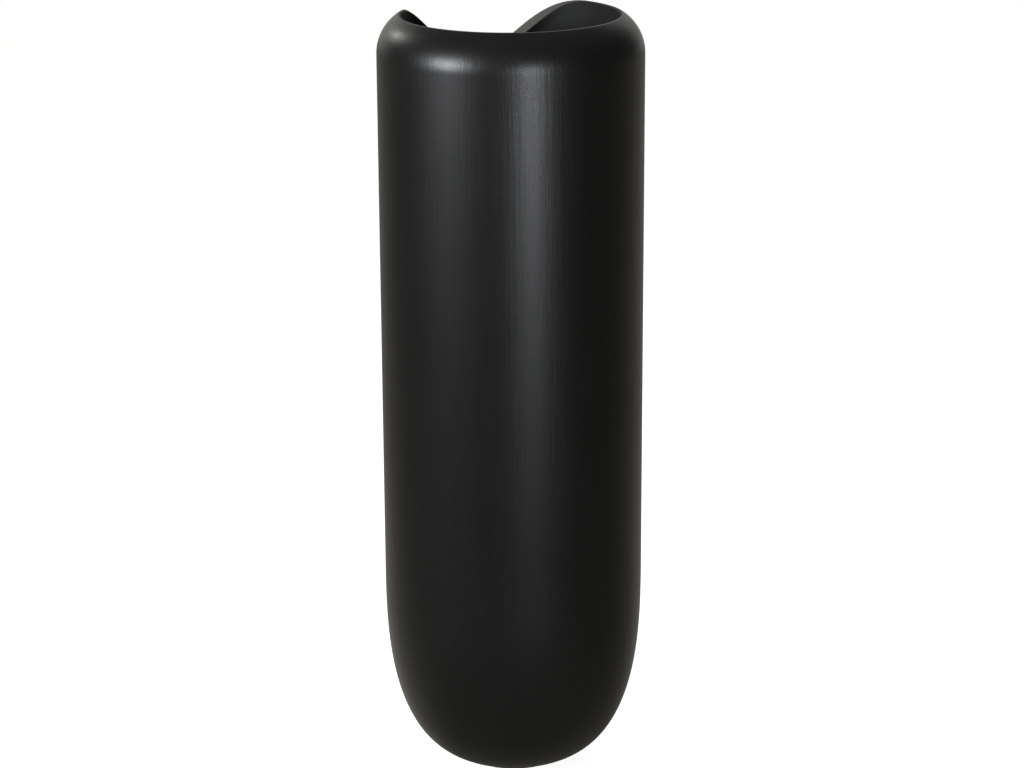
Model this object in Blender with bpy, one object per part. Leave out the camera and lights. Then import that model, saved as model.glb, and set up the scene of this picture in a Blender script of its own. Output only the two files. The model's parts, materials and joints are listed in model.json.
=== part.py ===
"""Freestanding pedestal sink: a one-piece round column with a rolled shoulder and a scooped rear rim,
a drop-in bowl, a push-open waste, a bottle trap that leaves through the back, and a magnetic
service panel. Metres, +Z up, origin on the floor at the column's axis. The user stands at -Y.
"""

from math import acos, cos, pi, radians, sin, tau

import bmesh
import bpy
from mathutils import Matrix, Vector

# ---------------------------------------------------------------- driving dimensions
GAP = 0.0003  # clearance between pieces that rest on each other
HEIGHT = 0.900  # floor to the rim
BODY_R = 0.1525  # outside of the column
WALL = 0.012  # thickness of the column wall

RIM_R = 0.1255  # inside of the rim and of the upper basin wall
LIP = 0.0018  # flat top of the lip
SHOULDER_ARC_R = 0.0515  # radius of the rolled shoulder, seen in section
FOOT_Z = 0.0070  # underside of the casting
FOOT_ROUND_H = 0.2453  # height at which the foot's rounding meets the straight wall
FOOT_CORE_R = 0.022  # the rounding's curve ends at this radius
FOOT_POWER = 2.75  # superellipse power of the rounding
FOOT_FLOOR_T = 0.014  # thickness of the casting's floor
FOOT_FLOOR_R = 0.056  # flat part of the floor inside, where the hold-down screws sit

SCOOP_HALF_W = 0.112  # half width of the scoop across the back
SCOOP_DEPTH = 0.065  # depth of the scoop below the rim

LEDGE_Z = 0.800  # top of the ledge that carries the bowl
LEDGE_R = 0.1205
LEDGE_T = 0.012
GASKET_T = 0.0012  # flat gaskets under the bowl's flange and the waste's
BOWL_TOP = 0.8185  # top of the bowl's flange, at the wall

DRAIN_R = 0.0325  # edge of the recess that the waste flange sits in
RECESS_Z = 0.7155  # floor of that recess
BOWL_UNDER_Z = 0.7050  # flat underside of the bowl, round the waste
DRAIN_HOLE_R = 0.0225
PLUG_TRAVEL = 0.008

PIPE_R = 0.0160  # outside of the 32 mm waste pipe
PIPE_T = 0.0015
PIPE_HOLE_R = 0.0215  # hole in the column, round the grommet
SOCKET_BORE_R = 0.0165  # what the pipe slides through
OUTLET_Z = 0.570  # height of the pipe to the wall
OUTLET_END_Y = 0.205  # face of the finished wall

PANEL_T = 0.0047
REBATE_D = 0.0050
PANEL_Z = (0.205, 0.525)  # lowest and highest edge of the rebate
REBATE_HALF_W = 0.070
PANEL_CORNER = 0.016  # corner radius of the rebate
PANEL_JOINT = 0.0007  # gap between the panel's edge and the rebate
LIP_W = 0.010  # width of the lip round the service opening
NOTCH_R = 0.009  # finger notch in the panel's lower edge
MAGNET_R = 0.0040
POCKET_STEPS = 16  # facets round the magnets' and keepers' pockets
MAGNET_ANGLES = (-14, 14)  # degrees from the column's back line

STEPS = 48  # facets round the column
FINE = 24  # facets round the fittings


# ---------------------------------------------------------------- materials
def material(name, colour, roughness, metallic=0.0):
    mat = bpy.data.materials.new(name)
    mat.diffuse_color = (*colour, 1.0)
    mat.use_nodes = True
    shader = mat.node_tree.nodes["Principled BSDF"]
    shader.inputs["Base Color"].default_value = (*colour, 1.0)
    shader.inputs["Roughness"].default_value = roughness
    shader.inputs["Metallic"].default_value = metallic
    return mat


def make_materials():
    return {
        "casting": material("black_casting", (0.013, 0.013, 0.013), 0.40),
        "fitting": material("black_coated_brass", (0.015, 0.015, 0.016), 0.35, 0.3),
        "plastic": material("white_polypropylene", (0.75, 0.75, 0.73), 0.45),
        "rubber": material("black_rubber", (0.03, 0.03, 0.03), 0.80),
        "sealant": material("black_sealant", (0.02, 0.02, 0.02), 0.50),
        "steel": material("stainless_steel", (0.60, 0.60, 0.58), 0.30, 1.0),
        "nickel": material("nickel_plate", (0.70, 0.67, 0.60), 0.20, 1.0),
    }


# ---------------------------------------------------------------- making solids
def clear_scene():
    for obj in list(bpy.data.objects):
        bpy.data.objects.remove(obj)


def finish_mesh(name, bm, mat):
    """Turns a bmesh into a smooth-shaded object with its faces pointing out."""
    bmesh.ops.remove_doubles(bm, verts=bm.verts, dist=1e-6)
    bmesh.ops.dissolve_degenerate(bm, edges=bm.edges, dist=1e-7)
    bmesh.ops.recalc_face_normals(bm, faces=bm.faces)
    mesh = bpy.data.meshes.new(name)
    bm.to_mesh(mesh)
    bm.free()
    mesh.shade_smooth()
    mesh.set_sharp_from_angle(angle=radians(35))
    obj = bpy.data.objects.new(name, mesh)
    bpy.context.scene.collection.objects.link(obj)
    if mat:
        mesh.materials.append(mat)
    return obj


def turned(name, outline, mat, steps=FINE, at=(0, 0, 0), axis=(0, 0, 1)):
    """A solid of revolution. The outline is a closed loop of (radius, distance along the axis)."""
    bm = bmesh.new()
    corners = [bm.verts.new((r, 0, z)) for r, z in outline]
    sides = zip(corners, corners[1:] + corners[:1])
    edges = [bm.edges.new((a, b)) for a, b in sides if a.co.x + b.co.x > 1e-9]
    bmesh.ops.spin(
        bm, geom=corners + edges, cent=(0, 0, 0), axis=(0, 0, 1), angle=tau, steps=steps, use_merge=True
    )
    turn = Vector((0, 0, 1)).rotation_difference(Vector(axis)).to_matrix().to_4x4()
    bmesh.ops.transform(bm, matrix=Matrix.Translation(at) @ turn, verts=bm.verts)
    return finish_mesh(name, bm, mat)


def disc(radius, low, high):
    """Outline of a plain round bar, for turned()."""
    return [(0, low), (radius, low), (radius, high), (0, high)]


def ring(inner, outer, low, high):
    """Outline of a plain ring, for turned()."""
    return [(inner, low), (outer, low), (outer, high), (inner, high)]


def prism(name, points, low, high, mat=None, matrix=None):
    """Extrudes a flat outline of (x, y) from low to high along Z, then places it."""
    bm = bmesh.new()
    face = bm.faces.new([bm.verts.new((x, y, low)) for x, y in points])
    made = bmesh.ops.extrude_face_region(bm, geom=[face])
    top = [v for v in made["geom"] if isinstance(v, bmesh.types.BMVert)]
    bmesh.ops.translate(bm, vec=(0, 0, high - low), verts=top)
    bmesh.ops.transform(bm, matrix=matrix or Matrix(), verts=bm.verts)
    return finish_mesh(name, bm, mat)


def polygon(radius, sides):
    return [(radius * cos(tau * i / sides), radius * sin(tau * i / sides)) for i in range(sides)]


def rounded_box(half_w, low, high, corner, arc_steps=5):
    """Outline of an upright rectangle with round corners, as (x, z)."""
    middles = [(half_w - corner, high - corner), (corner - half_w, high - corner)]
    middles += [(corner - half_w, low + corner), (half_w - corner, low + corner)]
    return [
        (x + corner * cos(pi / 2 * (i + k / arc_steps)), z + corner * sin(pi / 2 * (i + k / arc_steps)))
        for i, (x, z) in enumerate(middles)
        for k in range(arc_steps + 1)
    ]


def through_back(name, outline, near, far, mat=None):
    """Extrudes an (x, z) outline along +Y, from near to far."""
    upright = Matrix(((1, 0, 0, 0), (0, 0, 1, 0), (0, 1, 0, 0), (0, 0, 0, 1)))
    return prism(name, outline, near, far, mat, upright)


def boolean(obj, operation, *tools):
    """Cuts, joins or intersects obj with helper objects, which the build leaves out."""
    for tool in tools:
        modifier = obj.modifiers.new(f"{operation.lower()}_{tool.name}", "BOOLEAN")
        modifier.operation = operation
        modifier.solver = "EXACT"
        modifier.object = tool
        tool.hide_render = True
        tool.display_type = "WIRE"
    return obj


def repeated(name, outline, mat, steps, places):
    """Copies of one turned piece, which share its mesh, each at its own matrix."""
    first = turned(name, outline, mat, steps)
    copies = []
    for i, place in enumerate(places):
        copy = bpy.data.objects.new(f"{name}_{i + 1}", first.data)
        copy.matrix_basis = place
        bpy.context.scene.collection.objects.link(copy)
        copies.append(copy)
    bpy.data.objects.remove(first)
    return copies


def joined(name, parts):
    """One cutter made from several separate solids."""
    bm = bmesh.new()
    for part in parts:
        mesh = part.data.copy()
        mesh.transform(part.matrix_basis)
        bm.from_mesh(mesh)
        bpy.data.objects.remove(part)
    return finish_mesh(name, bm, None)


# ---------------------------------------------------------------- the column's shape
def foot_curve(core, radius, low, high, first, count):
    """The superellipse rounding from the underside to the straight wall, first to last angle."""
    points = []
    for i in range(count + 1):
        t = first + (pi / 2 - first) * i / count
        spread = sin(t) ** (2 / FOOT_POWER)
        rise = 1 - max(cos(t), 0.0) ** (2 / FOOT_POWER)
        points.append((core + (radius - core) * spread, low + (high - low) * rise))
    return points


def foot_start():
    """The superellipse angle at which the outside reaches the underside's height."""
    return acos((1 - FOOT_Z / FOOT_ROUND_H) ** (FOOT_POWER / 2))


def shoulder_curve(count):
    """The arc from the straight wall up and in to the lip."""
    span = acos(1 - (BODY_R - RIM_R - LIP) / SHOULDER_ARC_R)
    low = HEIGHT - SHOULDER_ARC_R * sin(span)
    return [
        (
            BODY_R - SHOULDER_ARC_R * (1 - cos(span * i / count)),
            low + SHOULDER_ARC_R * sin(span * i / count),
        )
        for i in range(count + 1)
    ]


def column_outline():
    inside_r = BODY_R - WALL
    outside = foot_curve(FOOT_CORE_R, BODY_R, 0, FOOT_ROUND_H, foot_start(), 11) + shoulder_curve(7)
    ledge = [(RIM_R, HEIGHT), (RIM_R, LEDGE_Z), (LEDGE_R, LEDGE_Z), (LEDGE_R, LEDGE_Z - LEDGE_T)]
    ledge.append((inside_r, LEDGE_Z - LEDGE_T - (inside_r - LEDGE_R)))
    inside = foot_curve(FOOT_FLOOR_R, inside_r, FOOT_Z + FOOT_FLOOR_T, FOOT_ROUND_H, 0, 7)[::-1]
    return [(0, FOOT_Z), *outside, *ledge, *inside, (0, FOOT_Z + FOOT_FLOOR_T)]


def scoop_outline(steps=28):
    """A bell-shaped dip, depth * (1 - (x / half width)^2)^2, closed above the rim."""
    above = HEIGHT + 0.02
    dip = []
    for i in range(steps + 1):
        x = SCOOP_HALF_W * (2 * i / steps - 1)
        dip.append((x, HEIGHT - SCOOP_DEPTH * (1 - (x / SCOOP_HALF_W) ** 2) ** 2))
    dip[0] = (dip[0][0], HEIGHT + 1e-4)
    dip[-1] = (dip[-1][0], HEIGHT + 1e-4)
    return [*dip, (SCOOP_HALF_W, above), (-SCOOP_HALF_W, above)]


def magnet_places():
    """Each magnet's matrix: on the lips above and below the opening, local Z pointing out."""
    heights = (PANEL_Z[0] + LIP_W / 2, PANEL_Z[1] - LIP_W / 2)
    lying = Matrix.Rotation(-pi / 2, 4, "X")
    return [
        Matrix.Translation((0, 0, z)) @ Matrix.Rotation(radians(angle), 4, "Z") @ lying
        for angle in MAGNET_ANGLES
        for z in heights
    ]


def make_column(mats):
    column = turned("column_shell", column_outline(), mats["casting"], STEPS)
    scoop = through_back("scoop_cutter", scoop_outline(), 0.02, BODY_R + 0.05)
    rebate_r = BODY_R - REBATE_D
    rebate = turned("rebate_cutter", ring(rebate_r, BODY_R + 0.02, 0.1, 0.6), None, STEPS)
    outline = rounded_box(REBATE_HALF_W, *PANEL_Z, PANEL_CORNER)
    boolean(rebate, "INTERSECT", through_back("rebate_window", outline, 0.08, 0.2))
    low, high = PANEL_Z[0] + LIP_W, PANEL_Z[1] - LIP_W
    inner = rounded_box(REBATE_HALF_W - LIP_W, low, high, 0.010)
    opening = through_back("opening_cutter", inner, 0.08, 0.2)
    pipe_at = (0, 0, OUTLET_Z)
    pipe_hole = turned("pipe_hole_cutter", disc(PIPE_HOLE_R, 0.10, 0.20), None, FINE, pipe_at, (0, 1, 0))
    pocket = disc(MAGNET_R + GAP, rebate_r - 0.0028, rebate_r + 0.004)
    pockets = joined("keeper_pockets", repeated("pocket", pocket, None, POCKET_STEPS, magnet_places()))
    hole = disc(SCREW_R + 0.0005, -0.01, 0.04)
    holes = joined("screw_holes", repeated("hole", hole, None, 16, screw_places()))
    boolean(column, "DIFFERENCE", scoop, rebate, opening, pipe_hole, pockets, holes)
    keeper = disc(MAGNET_R, rebate_r - 0.0025, rebate_r - GAP)
    repeated("panel_keeper", keeper, mats["steel"], POCKET_STEPS, magnet_places())


# ---------------------------------------------------------------- the fixing to the floor
SCREW_CIRCLE_R = 0.045
SCREW_R = 0.0040
SCREW_LOW = 0.0030
HEAD_R = 0.0065
HEAD_H = 0.008
SOCKET_R = 0.0034  # drive socket in the screw's head, half as deep as the head
WASHER_T = 0.0016
MAT_T = 0.0015  # thickness of the rubber mat
PLATE_R = 0.062
MAT_R = 0.060
PLATE_SIDES = 32


def screw_places(turn=0.0):
    """Four places round the screw circle. A turn of 0.5 puts them between the screws."""
    angles = [tau * (i + turn) / 4 for i in range(4)]
    return [Matrix.Translation((SCREW_CIRCLE_R * cos(a), SCREW_CIRCLE_R * sin(a), 0)) for a in angles]


def make_floor_fixing(mats):
    plate_outline = polygon(PLATE_R, PLATE_SIDES)
    plate = prism("floor_plate", plate_outline, MAT_T + GAP, FOOT_Z - GAP, mats["steel"])
    thread_hole = disc(SCREW_R + GAP, -0.01, 0.02)
    thread_holes = joined("plate_holes", repeated("thread_hole", thread_hole, None, 12, screw_places()))
    sink = [(0, -0.01), (0.003, -0.01), (0.003, 0.0040), (0.0063, 0.0073), (0.0063, 0.02), (0, 0.02)]
    anchors = joined("anchor_holes", repeated("sink", sink, None, 10, screw_places(0.5)))
    boolean(plate, "DIFFERENCE", thread_holes, anchors)
    foot_pad = prism("floor_mat", polygon(MAT_R, PLATE_SIDES), 0, MAT_T, mats["rubber"])
    boolean(foot_pad, "DIFFERENCE", anchors)
    washer_low = FOOT_Z + FOOT_FLOOR_T + GAP
    washer = ring(SCREW_R + GAP, 0.008, washer_low, washer_low + WASHER_T)
    repeated("hold_down_washer", washer, mats["steel"], 16, screw_places())
    seat = washer_low + WASHER_T + GAP
    screw = [
        (0, SCREW_LOW),
        (SCREW_R, SCREW_LOW),
        (SCREW_R, seat),
        (HEAD_R, seat),
        (HEAD_R, seat + HEAD_H - 0.0005),
        (HEAD_R - 0.0005, seat + HEAD_H),
        (SOCKET_R, seat + HEAD_H),
        (SOCKET_R, seat + HEAD_H / 2),
        (0, seat + HEAD_H / 2),
    ]
    repeated("hold_down_screw", screw, mats["steel"], 18, screw_places())


# ---------------------------------------------------------------- the bowl
def bowl_curve(reach, depth, top, first, last, count):
    """A quarter ellipse from the wall at angle 0 towards the waste, angles in degrees."""
    centre_r = 0.0231
    return [
        (
            centre_r + reach * cos(radians(first + (last - first) * i / count)),
            top - depth * sin(radians(first + (last - first) * i / count)),
        )
        for i in range(count + 1)
    ]


def make_bowl(mats):
    flange_low = LEDGE_Z + GASKET_T + 2 * GAP
    flange_r = RIM_R - GAP
    outline = [(DRAIN_HOLE_R, BOWL_UNDER_Z), (0.0370, BOWL_UNDER_Z), (0.0405, 0.7100)]
    outline += bowl_curve(0.0969, 0.0865, 0.8000, 78, 0, 6)
    outline += [(0.1200, flange_low), (flange_r, flange_low), (flange_r, BOWL_TOP), (0.1180, 0.8165)]
    outline += [(0.1152, 0.8152), (0.1136, 0.8125)]
    outline += bowl_curve(0.0899, 0.0865, 0.8080, 0, 84, 10)
    outline += [(DRAIN_R, RECESS_Z), (DRAIN_HOLE_R, RECESS_Z)]
    turned("bowl", outline, mats["casting"], STEPS)
    gasket = ring(0.1212, 0.1248, LEDGE_Z + GAP, LEDGE_Z + GAP + GASKET_T)
    turned("bowl_gasket", gasket, mats["rubber"], STEPS)
    seal_low = BOWL_TOP + GAP
    bead = [(0.1212, seal_low), (flange_r, seal_low), (flange_r, seal_low + 0.004)]
    turned("bowl_seal", [*bead, (0.1232, seal_low + 0.0021)], mats["sealant"], STEPS)


# ---------------------------------------------------------------- the push-open waste
WASTE_TOP = 0.7228
WASTE_LOW = 0.6440
THREAD_R = 0.0209
HUB_Z = (0.6900, 0.6980)
ARM_HALF_W = 0.00125
WASHER_H = 0.0040
BACK_NUT_H = 0.0090


def make_waste(mats):
    gasket_low = RECESS_Z + GAP
    turned("flange_gasket", ring(0.0235, 0.0315, gasket_low, gasket_low + GASKET_T), mats["rubber"])
    flange_low = gasket_low + GASKET_T + GAP
    tail = [(SOCKET_BORE_R, WASTE_LOW), (THREAD_R, WASTE_LOW), (THREAD_R, flange_low)]
    flange = [(0.0320, flange_low), (0.0320, WASTE_TOP - 0.0006), (0.0316, WASTE_TOP)]
    seat = [(0.0300, WASTE_TOP), (0.0222, 0.7200), (0.0175, 0.7150), (SOCKET_BORE_R, 0.7130)]
    waste = turned("waste_body", tail + flange + seat, mats["fitting"])
    hub = turned("waste_hub", ring(0.0095, 0.0120, *HUB_Z), None, 24)
    arms = []
    for i in range(3):
        arm = [(0.0110, -ARM_HALF_W), (0.0185, -ARM_HALF_W), (0.0185, ARM_HALF_W), (0.0110, ARM_HALF_W)]
        low, high = HUB_Z[0] + 0.0005, HUB_Z[1] - 0.0005
        arms.append(prism(f"arm_{i}", arm, low, high, None, Matrix.Rotation(tau * i / 3, 4, "Z")))
    boolean(waste, "UNION", hub, *arms)
    washer_high = BOWL_UNDER_Z - GAP
    turned("waste_washer", ring(0.0213, 0.0300, washer_high - WASHER_H, washer_high), mats["rubber"])
    nut_high = washer_high - WASHER_H - GAP
    nut = prism("back_nut", polygon(0.0300, 6), nut_high - BACK_NUT_H, nut_high, mats["fitting"])
    boolean(nut, "DIFFERENCE", turned("back_nut_bore", disc(THREAD_R + GAP, 0.6, 0.8), None))
    make_plug(mats)


def make_plug(mats):
    """The plug is drawn open, raised by its travel above the seat."""
    shoulder = HUB_Z[1] + GAP
    cartridge_top = shoulder + 0.0040
    cartridge_low = 0.6520
    bore = 0.0072
    housing = [
        (0, cartridge_low),
        (0.0092, cartridge_low),
        (0.0092, shoulder),
        (0.0112, shoulder),
        (0.0112, cartridge_top),
        (0.0046, cartridge_top),
        (0.0046, cartridge_top - 0.002),
        (bore, cartridge_top - 0.002),
        (bore, cartridge_low + 0.0025),
        (0, cartridge_low + 0.0025),
    ]
    turned("plug_cartridge", housing, mats["plastic"], 24)

    piston_top = cartridge_top - 0.0025
    piston_low = piston_top - 0.012
    cap_low = WASTE_TOP + 2 * GAP + PLUG_TRAVEL
    stem = [
        (0, piston_low),
        (0.0068, piston_low),
        (0.0068, piston_top),
        (0.0040, piston_top),
        (0.0040, cap_low + 0.0025),
        (0, cap_low + 0.0025),
    ]
    turned("plug_stem", stem, mats["steel"], 24)
    cap = [
        (0.0043, cap_low),
        (0.0308, cap_low),
        (0.0315, cap_low + 0.0008),
        (0.0315, cap_low + 0.0022),
        (0.0300, cap_low + 0.0036),
        (0.0225, cap_low + 0.0048),
        (0.0120, cap_low + 0.0055),
        (0, cap_low + 0.0058),
        (0, cap_low + 0.0028),
        (0.0043, cap_low + 0.0028),
    ]
    turned("plug_cap", cap, mats["fitting"], 32)
    seal_high = cap_low - GAP
    seal_low = seal_high - 0.0028
    seal = [(0.0043, seal_low), (0.0213, seal_low), (0.0285, seal_high), (0.0043, seal_high)]
    turned("plug_seal", seal, mats["rubber"])
    make_spring(cartridge_low + 0.0025 + GAP, piston_low - GAP, mats)


def make_spring(low, high, mats, coil_r=0.0052, wire_r=0.0008, turns=6, per_turn=12):
    """A compression spring: a bevelled curve along a helix."""
    curve = bpy.data.curves.new("plug_spring", "CURVE")
    curve.dimensions = "3D"
    curve.bevel_depth = wire_r
    curve.bevel_resolution = 0
    curve.use_fill_caps = True
    count = turns * per_turn + 1
    line = curve.splines.new("POLY")
    line.points.add(count - 1)
    for i in range(count):
        angle = tau * i / per_turn
        z = low + wire_r + (high - low - 2 * wire_r) * i / (count - 1)
        line.points[i].co = (coil_r * cos(angle), coil_r * sin(angle), z, 1)
    curve.materials.append(mats["steel"])
    spring = bpy.data.objects.new("plug_spring", curve)
    bpy.context.scene.collection.objects.link(spring)


# ---------------------------------------------------------------- the bottle trap
TRAP_R = 0.0310
TRAP_T = 0.0025
TRAP_THREAD_R = 0.0335
NECK_R = 0.0205
TRAP_LOW = 0.5000
TRAP_HIGH = 0.5980
SPIGOT_END = 0.0500
SLIP_NUT_H = 0.0190


def slip_nut(name, mat, at, axis, length, grip_r=0.0262, sides=12):
    """A union nut: a faceted grip, a thread bore, and a lip that the pipe passes through."""
    turn = Vector((0, 0, 1)).rotation_difference(Vector(axis)).to_matrix().to_4x4()
    nut = prism(name, polygon(grip_r, sides), 0, length, mat, Matrix.Translation(at) @ turn)
    thread_r = THREAD_R + GAP
    bore = [(0, -0.01), (thread_r, -0.01), (thread_r, length - 0.0035)]
    bore += [(SOCKET_BORE_R, length - 0.0035), (SOCKET_BORE_R, length + 0.01), (0, length + 0.01)]
    boolean(nut, "DIFFERENCE", turned(f"{name}_bore", bore, None, FINE, at, axis))
    return nut


def make_inlet(mats):
    nut_low = 0.6360
    slip_nut("trap_inlet_nut", mats["plastic"], (0, 0, nut_low + 0.020), (0, 0, -1), 0.020)
    flange_low = nut_low + 0.0035 + GAP
    flange_high = flange_low + 0.0020
    bore_r = PIPE_R - PIPE_T
    tube_low = 0.4800
    tube = [(bore_r, tube_low), (PIPE_R, tube_low), (PIPE_R, flange_low), (0.0203, flange_low)]
    turned("trap_inlet_tube", [*tube, (0.0203, flange_high), (bore_r, flange_high)], mats["plastic"])
    turned("trap_inlet_washer", ring(0.0150, 0.0203, flange_high + GAP, WASTE_LOW - GAP), mats["rubber"])


def cone_seal(name, mat, at, axis):
    """The tapered rubber ring that a slip nut squeezes on to the pipe."""
    inner = PIPE_R + GAP
    outline = [(inner, GAP), (0.0185, GAP), (0.0203, 0.0030), (0.0203, 0.0055), (inner, 0.0055)]
    return turned(name, outline, mat, FINE, at, axis)


def make_trap_body(mats):
    inner = TRAP_R - TRAP_T
    neck_top = 0.6120
    outline = [
        (inner, TRAP_LOW),
        (TRAP_THREAD_R, TRAP_LOW),
        (TRAP_THREAD_R, TRAP_LOW + 0.014),
        (TRAP_R, TRAP_LOW + 0.016),
        (TRAP_R, TRAP_HIGH - 0.008),
        (TRAP_R - 0.003, TRAP_HIGH - 0.002),
        (TRAP_R - 0.007, TRAP_HIGH),
        (NECK_R, TRAP_HIGH),
        (NECK_R, neck_top),
        (SOCKET_BORE_R, neck_top),
        (SOCKET_BORE_R, TRAP_HIGH - TRAP_T),
        (inner - 0.005, TRAP_HIGH - TRAP_T),
        (inner, TRAP_HIGH - 0.008),
    ]
    body = turned("trap_body", outline, mats["plastic"])
    at, back = (0, 0, OUTLET_Z), (0, 1, 0)
    spigot = turned("trap_spigot", disc(NECK_R, 0.0275, SPIGOT_END), None, FINE, at, back)
    bore = turned("trap_spigot_bore", disc(SOCKET_BORE_R, 0.0200, 0.0600), None, FINE, at, back)
    boolean(body, "UNION", spigot)
    boolean(body, "DIFFERENCE", bore)
    cone_seal("trap_top_seal", mats["rubber"], (0, 0, neck_top), (0, 0, 1))
    slip_nut("trap_top_nut", mats["plastic"], (0, 0, neck_top - 0.0095), (0, 0, 1), SLIP_NUT_H)


def make_cup(mats):
    """The clean-out cup hangs by its ring nut, and a round seal closes the joint."""
    inner = TRAP_R - TRAP_T
    cup_top = TRAP_LOW - 0.0025
    flange_low = cup_top - 0.0040
    cup_low = 0.4525
    cup = [
        (0, cup_low),
        (0.018, cup_low),
        (0.027, cup_low + 0.004),
        (TRAP_R, cup_low + 0.012),
        (TRAP_R, flange_low),
        (TRAP_THREAD_R, flange_low),
        (TRAP_THREAD_R, cup_top),
        (inner, cup_top),
        (inner, cup_low + 0.0135),
        (0.0255, cup_low + 0.0065),
        (0.0175, cup_low + 0.0028),
        (0, cup_low + 0.0025),
    ]
    turned("trap_cup", cup, mats["plastic"])
    turned("cup_seal", ring(0.0292, 0.0328, cup_top + GAP, TRAP_LOW - GAP), mats["rubber"])
    nut_low = flange_low - GAP - 0.0045
    nut_high = TRAP_LOW + 0.0120
    grip_r = 0.0405
    nut = prism("cup_nut", polygon(grip_r, 16), nut_low, nut_high, mats["plastic"])
    lip_r, thread_r, step = TRAP_R + GAP, TRAP_THREAD_R + GAP, nut_low + 0.0045
    bore = [(0, nut_low - 0.01), (lip_r, nut_low - 0.01), (lip_r, step)]
    bore += [(thread_r, step), (thread_r, nut_high + 0.01), (0, nut_high + 0.01)]
    boolean(nut, "DIFFERENCE", turned("cup_nut_bore", bore, None))


def make_outlet(mats):
    back = (0, 1, 0)
    cone_seal("outlet_seal", mats["rubber"], (0, SPIGOT_END, OUTLET_Z), back)
    slip_nut("outlet_nut", mats["plastic"], (0, SPIGOT_END - 0.0095, OUTLET_Z), back, SLIP_NUT_H)
    tube = ring(PIPE_R - PIPE_T, PIPE_R, 0.0380, OUTLET_END_Y - 0.0002)
    turned("outlet_tube", tube, mats["fitting"], FINE, (0, 0, OUTLET_Z), back)
    inside_flange = ((BODY_R - WALL) ** 2 - 0.0265**2) ** 0.5 - GAP
    grommet = [
        (PIPE_R + GAP, inside_flange - 0.003),
        (0.0265, inside_flange - 0.003),
        (0.0265, inside_flange),
        (0.0212, inside_flange),
        (0.0212, BODY_R + GAP),
        (0.0265, BODY_R + GAP),
        (0.0255, BODY_R + 0.0030),
        (PIPE_R + GAP, BODY_R + 0.0036),
    ]
    turned("pipe_grommet", grommet, mats["rubber"], FINE, (0, 0, OUTLET_Z), back)
    rosette_in = PIPE_R + GAP
    rosette = [
        (rosette_in, OUTLET_END_Y - 0.012),
        (0.0205, OUTLET_END_Y - 0.012),
        (0.0290, OUTLET_END_Y - 0.0075),
        (0.0340, OUTLET_END_Y - 0.0025),
        (0.0350, OUTLET_END_Y),
        (rosette_in, OUTLET_END_Y),
    ]
    turned("wall_rosette", rosette, mats["fitting"], 32, (0, 0, OUTLET_Z), back)


def make_trap(mats):
    make_inlet(mats)
    make_trap_body(mats)
    make_cup(mats)
    make_outlet(mats)


# ---------------------------------------------------------------- the service panel
def make_panel(mats):
    """A curved plate, flush with the column, with a finger notch in its lower edge."""
    inner_r = BODY_R - PANEL_T
    panel = turned("access_panel", ring(inner_r, BODY_R, 0.1, 0.6), mats["casting"], STEPS)
    low, high = PANEL_Z[0] + PANEL_JOINT, PANEL_Z[1] - PANEL_JOINT
    outline = rounded_box(REBATE_HALF_W - PANEL_JOINT, low, high, PANEL_CORNER - PANEL_JOINT)
    window = through_back("panel_window", outline, 0.08, 0.2)
    boolean(panel, "INTERSECT", window)
    notch_at = (0, 0, PANEL_Z[0])
    notch = turned("notch_cutter", disc(NOTCH_R, 0.10, 0.20), None, FINE, notch_at, (0, 1, 0))
    pocket = disc(MAGNET_R + GAP, inner_r - 0.004, inner_r + 0.0030)
    pockets = joined("magnet_pockets", repeated("magnet_pocket", pocket, None, POCKET_STEPS, magnet_places()))
    boolean(panel, "DIFFERENCE", notch, pockets)
    magnet = disc(MAGNET_R, inner_r + 0.0001, inner_r + 0.0027)
    repeated("panel_magnet", magnet, mats["nickel"], POCKET_STEPS, magnet_places())


def main():
    clear_scene()
    mats = make_materials()
    make_column(mats)
    make_floor_fixing(mats)
    make_bowl(mats)
    make_waste(mats)
    make_trap(mats)
    make_panel(mats)


main()
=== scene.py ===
"""A freestanding column sink: a matt black casting with a rolled shoulder and a scooped back rim,
its bowl, push-open waste, bottle trap, wall outlet, service panel and floor fixing.

Every piece is a surface worked out with numpy in metres, +Z up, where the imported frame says.
The origin is on the floor at the column's axis, and the back, with the scoop, faces +Y.
"""

import json
from functools import partial
from math import acos, cos, pi, radians, sin, tau

import bmesh
import bpy
import numpy as np
from bpy.props import FloatProperty, FloatVectorProperty, IntProperty, PointerProperty
from mathutils import Matrix, Vector


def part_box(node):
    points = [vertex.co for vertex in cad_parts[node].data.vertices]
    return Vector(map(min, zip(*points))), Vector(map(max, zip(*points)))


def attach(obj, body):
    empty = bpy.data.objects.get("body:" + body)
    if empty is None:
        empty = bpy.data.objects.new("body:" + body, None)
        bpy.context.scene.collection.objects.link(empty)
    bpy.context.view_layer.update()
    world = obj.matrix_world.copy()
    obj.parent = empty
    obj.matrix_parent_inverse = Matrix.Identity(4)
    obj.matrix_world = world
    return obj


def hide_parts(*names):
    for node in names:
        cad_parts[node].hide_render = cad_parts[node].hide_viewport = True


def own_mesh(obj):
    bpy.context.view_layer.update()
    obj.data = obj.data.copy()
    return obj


bl_info = {
    "name": "Column Sink",
    "version": (1, 0, 0),
    "blender": (4, 5, 0),
    "location": "3D View > Sidebar > Column Sink",
    "description": "Builds a freestanding column sink with its bowl, waste, trap and service panel",
    "category": "Add Mesh",
}

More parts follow.
